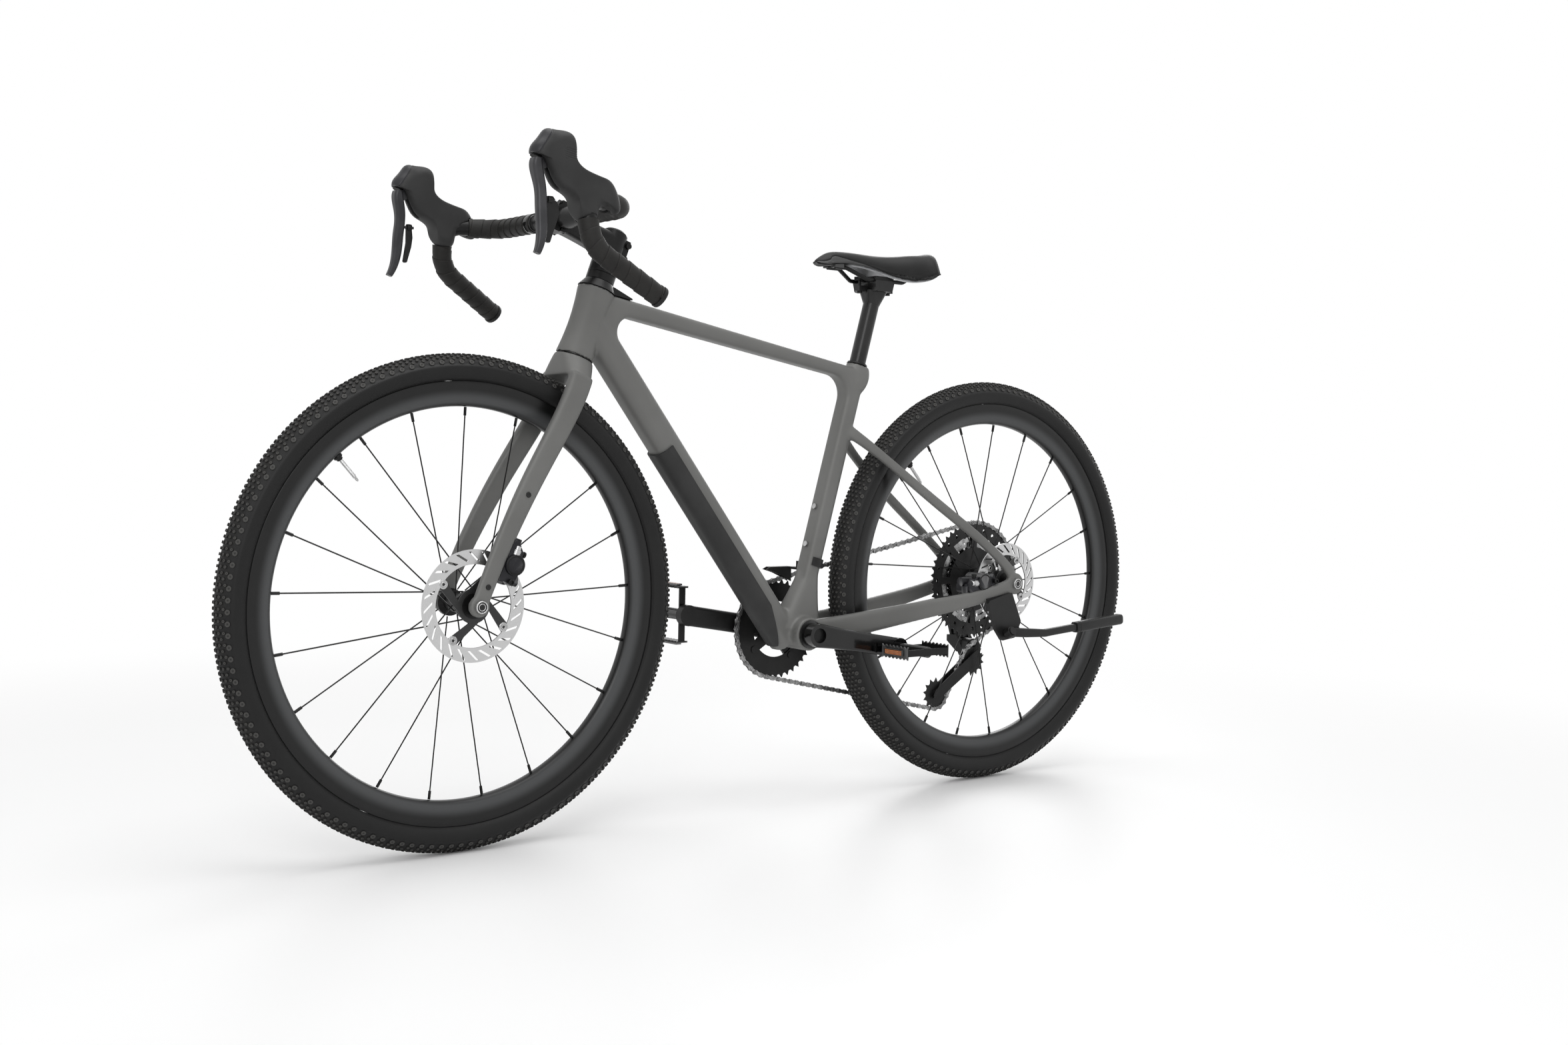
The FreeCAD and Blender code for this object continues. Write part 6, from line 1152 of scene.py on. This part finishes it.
# A solid of the chain that is narrower than this is an outer plate
PLATE_LIMIT = 1.6 * MM
PIN_HEAD = ((1.9, -0.3), (1.9, 0.65), (1.5, 0.8), (0, 0.8))
ROLLER = ((0, -1.1), (3.7, -1.1), (3.7, 1.1), (0, 1.1))
SAME_SPOT = 0.001 * MM


def plate_outline():
    """Half the outline's points run round each end; the waist is drawn in between them."""
    points = []
    for side in (1, -1):
        for turn in map(math.radians, END_SWEEP):
            end = HALF_PITCH + PLATE_END * math.cos(turn)
            points.append((side * end, side * PLATE_END * math.sin(turn)))
        swell = side * PLATE_WAIST * WAIST_SWELL
        points += [(side * WAIST_REACH, swell), (0, side * PLATE_WAIST), (-side * WAIST_REACH, swell)]
    return points


def link_plate(middle, run, thickness):
    """A flat plate with softened edges."""
    outline = plate_outline()
    rise = LEFT.cross(run)
    corners = []
    for shrink, level in PLATE_EDGES:
        corners += [middle + run * (x * (1 + shrink) / 2) + rise * (z * shrink) + LEFT * (thickness * level)
                    for x, z in outline]
    rings = len(PLATE_EDGES), len(outline)
    return corners, grid_faces(*rings) + end_faces(*rings)


def chain_solids():
    """Corner tables of the chain's separate solids."""
    mesh = frame["nodes"]["chain"].data
    places = corners_of(mesh)[0]
    spots, same = np.unique(np.round(places / SAME_SPOT).astype(np.int64), axis=0, return_inverse=True)
    same = same.ravel()
    owner = np.arange(len(spots))
    triangles = np.array([[same[corner] for corner in face.vertices[:3]] for face in mesh.polygons])
    changed = True
    while changed:
        lowest = owner[triangles].min(axis=1)
        before = owner.copy()
        for column in range(3):
            np.minimum.at(owner, triangles[:, column], lowest)
        owner = owner[owner]
        changed = bool((owner != before).any())
    return [spots[owner == label] * SAME_SPOT for label in np.unique(owner)]


def add_chain():
    """Every solid of the chain is an inner link or an outer plate; its two tips give its run."""
    solids = chain_solids()
    inner = np.array([(solid.max(axis=0) + solid.min(axis=0)) / 2 for solid in solids
                      if np.ptp(solid[:, 1]) > PLATE_LIMIT])
    shapes = []
    for solid in solids:
        gaps = np.linalg.norm(solid[:, None, (0, 2)] - solid[None, :, (0, 2)], axis=2)
        first, last = (solid[index] for index in np.unravel_index(gaps.argmax(), gaps.shape))
        left, wide = (solid[:, 1].max() + solid[:, 1].min()) / 2, np.ptp(solid[:, 1])
        middle = Vector(((first[0] + last[0]) / 2, left, (first[2] + last[2]) / 2))
        run = Vector((last[0] - first[0], 0, last[2] - first[2])).normalized()
        pins = [(side, middle + run * (side * HALF_PITCH)) for side in (-1, 1)]
        if wide < PLATE_LIMIT:
            nearest = np.hypot(inner[:, 0] - middle.x, inner[:, 2] - middle.z).argmin()
            out = LEFT * (1 if middle.y > inner[nearest, 1] else -1)
            shapes.append(link_plate(middle, run, OUTER_PLATE))
            shapes += [lathe(PIN_HEAD, pin, out, 10) for side, pin in pins]
            continue
        for side, pin in pins:
            plate = middle + LEFT * (side * (wide - INNER_PLATE) / 2)
            shapes += [link_plate(plate, run, INNER_PLATE), lathe(ROLLER, pin, LEFT, 12)]
    item = add_piece("chain_links", gathered(shapes), "frame", "chain", 40)
    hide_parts("chain")


# Bright and dark fittings on the calipers
HEAD_ANGLE = math.radians(70)
STEER_UP, STEER_FORE = turned(-FORE, UP, HEAD_ANGLE), turned(UP, FORE, HEAD_ANGLE)
CALIPER_NECK = ((0, 0), (6.2, 0), (6.6, 0.4), (6.6, 7.5), (6.0, 8), (5.4, 8.2), (5.4, 13), (4.8, 13.6),
                (0, 13.6))
CALIPER_RING = ((11.4, 3.2), (11.8, 3.7), (13.4, 3.7), (13.9, 3.2), (13.9, 2.6))
CALIPER_BOLT = ((0, -6), (3.4, -6), (3.4, 2.5), (4.6, 2.6), (4.6, 5.4), (4.0, 6), (2.4, 6), (2.2, 4.4),
                (0, 4.4))
# Spots on a caliper in mm: along it, away from the blade and left of its face
NECK_SPOT, RING_SPOT = (41, 17, -3.5), (27.3, 19, 0)
BACK_BOLTS, FACE_BOLT = ((46, 27, -6), (4, 29, -8)), (2, 20, 0.5)
# Each caliper's wheel and body, its foot, the ways along it and away from the blade, and its left face
CALIPERS = (
    ("front", "steering", WHEELS["front"] + STEER_UP * (45 * MM) - STEER_FORE * (12 * MM),
     STEER_UP, -STEER_FORE, 58.9 * MM),
    ("rear", "frame", WHEELS["rear"] + Vector((45, 0, -14)) * MM, FORE, UP, 74.9 * MM),
)


def add_caliper_fittings(wheel, body, foot, along, away, face):
    """A bright neck above the piston cap, the cap's rim, and three small bolts."""
    def spot(up, out, left):
        return foot + along * (up * MM) + away * (out * MM) + LEFT * (face + left * MM)
    neck = lathe(CALIPER_NECK, spot(*NECK_SPOT), along, 28)
    add_piece(wheel + "_caliper_neck", neck, body, "silver", 30)
    small = [lathe(CALIPER_BOLT, spot(*place), away, 20) for place in BACK_BOLTS]
    small.append(lathe(CALIPER_BOLT, spot(*FACE_BOLT), LEFT, 20))
    small.append(lathe(CALIPER_RING, spot(*RING_SPOT), LEFT, 36))
    add_piece(wheel + "_caliper_bolts", gathered(small), body, "satin", 30)


# Kickstand leg: flat bar, bend and the telescopic sleeve at its foot
STAND_PIVOT = WHEELS["rear"] + Vector((30, 99, -83)) * MM
STAND_TILT, STAND_RISE = math.radians(26), math.radians(4.5)
STAND_AXIS, STAND_RUN = turned(LEFT, UP, STAND_TILT), turned(-FORE, UP, STAND_RISE)
STAND_BEND = STAND_PIVOT + Vector((-86, 0, -5)) * MM
SLEEVE_START = STAND_BEND + STAND_RUN * (79 * MM)
STAND_EYE = ((4.1, -7), (8.6, -7), (9, -6.6), (9, 6.6), (8.6, 7), (4.1, 7), (4.1, -7))
# Sections of the sleeve in mm: place along it, width, depth, and how square they are
SLEEVE = ((0, 12.4, 13.4, 0.5), (0, 16, 18, 0.5), (1, 17, 19, 0.5), (8, 17, 19, 0.5), (8.6, 16, 18, 0.5),
          (9.6, 16, 18, 0.5), (10.2, 17, 19, 0.5), (119, 17, 19, 0.5), (123, 15.5, 17.5, 0.6),
          (125, 12, 13, 0.7))
BAR_SQUARENESS = 0.5
LIMB_SIDES = 28


def limb(stations):
    """A closed form through rounded oblongs: (centre, direction, width and depth in mm, squareness)."""
    corners = []
    for centre, way, width, depth, power in stations:
        way = Vector(way).normalized()
        across = (LEFT - way * LEFT.dot(way)).normalized()
        rise = way.cross(across)
        for step in range(LIMB_SIDES):
            turn = FULL_TURN * step / LIMB_SIDES
            side, up = math.cos(turn), math.sin(turn)
            corners.append(centre + across * (width * MM / 2 * math.copysign(abs(side) ** power, side))
                           + rise * (depth * MM / 2 * math.copysign(abs(up) ** power, up)))
    rings = len(stations), LIMB_SIDES
    return corners, grid_faces(*rings) + end_faces(*rings)


def add_stand_leg():
    """The bar from the pivot through the bend, the sleeve on its foot, and the eye round the pivot."""
    back = -FORE
    bar = ((STAND_PIVOT + back * (6 * MM), back, 11, 15),
           (STAND_PIVOT + back * (9 * MM), back, 12, 16),
           (STAND_PIVOT.lerp(STAND_BEND, 0.45), back, 12, 16),
           (STAND_PIVOT.lerp(STAND_BEND, 0.8), back, 12, 14.6),
           (STAND_BEND, back + STAND_RUN, 12, 13.6),
           (STAND_BEND + STAND_RUN * (20 * MM), STAND_RUN, 12, 13),
           (SLEEVE_START + STAND_RUN * (4 * MM), STAND_RUN, 12, 13))
    sleeve = [(SLEEVE_START + STAND_RUN * (along * MM), STAND_RUN, *section) for along, *section in SLEEVE]
    eye = lathe(STAND_EYE, STAND_PIVOT, STAND_AXIS, 36)
    shapes = [limb([(*station, BAR_SQUARENESS) for station in bar]), limb(sleeve), eye]
    item = add_piece("kickstand_bar", gathered(shapes), "kickstand", "powder", 35)
    clean(item)
    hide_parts("kickstand_leg")


add_camera()
for wheel in WHEELS:
    add_tyre(wheel)
    add_rim(wheel)
    add_valve(wheel)
    add_axle_end(wheel, "steering" if wheel == "front" else "frame")
for wheel in WHEELS:
    add_rivets(wheel)
add_tape()
add_saddle()
add_saddle_base()
for side in ("left", "right"):
    softened("lever_body_" + side, "rubber_hood_" + side, "steering", "hood",
             voxel=0.7 * MM, rounds=20, adjust=carve_hood)
    add_reflectors(side)
softened("frame", "frame_skin", "frame", "carbon", voxel=2.2 * MM, rounds=10)
softened("fork", "fork_skin", "steering", "carbon", voxel=2.0 * MM, rounds=10)
add_fork_plugs()
add_chain()
for caliper in CALIPERS:
    add_caliper_fittings(*caliper)
add_stand_leg()


# Floor, light and background
FLOOR_REACH = 14.0
SHADOW_REACH, WHITE_REACH = 0.9, 2.6
SURROUND_STRENGTH = 0.55


def seen_rays(make):
    """1 where the camera looks, straight or by a reflection."""
    path = make.tree.nodes.new("ShaderNodeLightPath")
    straight, mirrored = path.outputs["Is Camera Ray"], path.outputs["Is Glossy Ray"]
    return make.maths("MINIMUM", Signal(make.tree, straight) + Signal(make.tree, mirrored), 1.0)


def add_floor():
    """A pale floor that keeps the shadow near the object and turns white with distance."""
    make = Finish("pale_floor")
    away = make.node("VectorMath", {0: make.place}, "Value", operation="LENGTH")
    pale = make.mix(make.noise(1.2, 2.0), grey(247), grey(250))
    plain = make.node("BsdfPrincipled", {"Base Color": pale, "Roughness": 0.45})
    white = make.node("Emission", {"Color": (1, 1, 1, 1), "Strength": 1.0})
    share = make.between(away, SHADOW_REACH, WHITE_REACH) * seen_rays(make)
    mesh = bpy.data.meshes.new("floor")
    mesh.from_pydata([(FLOOR_REACH * x, FLOOR_REACH * y, 0) for x, y in SQUARE], [], [(0, 1, 2, 3)])
    mesh.materials.append(make.shown(make.node("MixShader", {0: share, 1: plain, 2: white})))
    linked("floor", mesh)


def add_world():
    """White to the camera and in reflections, dimmer as a light."""
    world = bpy.data.worlds.new("studio")
    bpy.context.scene.world = world
    world.use_nodes = True
    world.node_tree.nodes.clear()
    make = Signal(world.node_tree)
    level = SURROUND_STRENGTH + seen_rays(make) * (1 - SURROUND_STRENGTH)
    background = make.node("Background", {"Color": (1, 1, 1, 1), "Strength": level})
    make.node("OutputWorld", {"Surface": background})


def add_lamp(name, place, aim, size, power):
    """A round lamp that faces a point."""
    data = bpy.data.lights.new(name, "AREA")
    data.shape, data.size, data.energy = "DISK", size, power
    item = linked(name, data)
    item.location = place
    item.rotation_mode = "QUATERNION"
    item.rotation_quaternion = (Vector(aim) - Vector(place)).to_track_quat("-Z", "Y")


add_floor()
add_world()
add_lamp("overhead", (0.2, 0.4, 3.6), (0, 0, 0.4), 3.2, 62)
add_lamp("left_front", (2.4, 2.6, 2.2), (0, 0, 0.5), 1.8, 26)
add_lamp("behind", (-2.6, -2.2, 1.9), (0, 0, 0.5), 1.6, 18)

bpy.context.scene.view_settings.view_transform = "Standard"
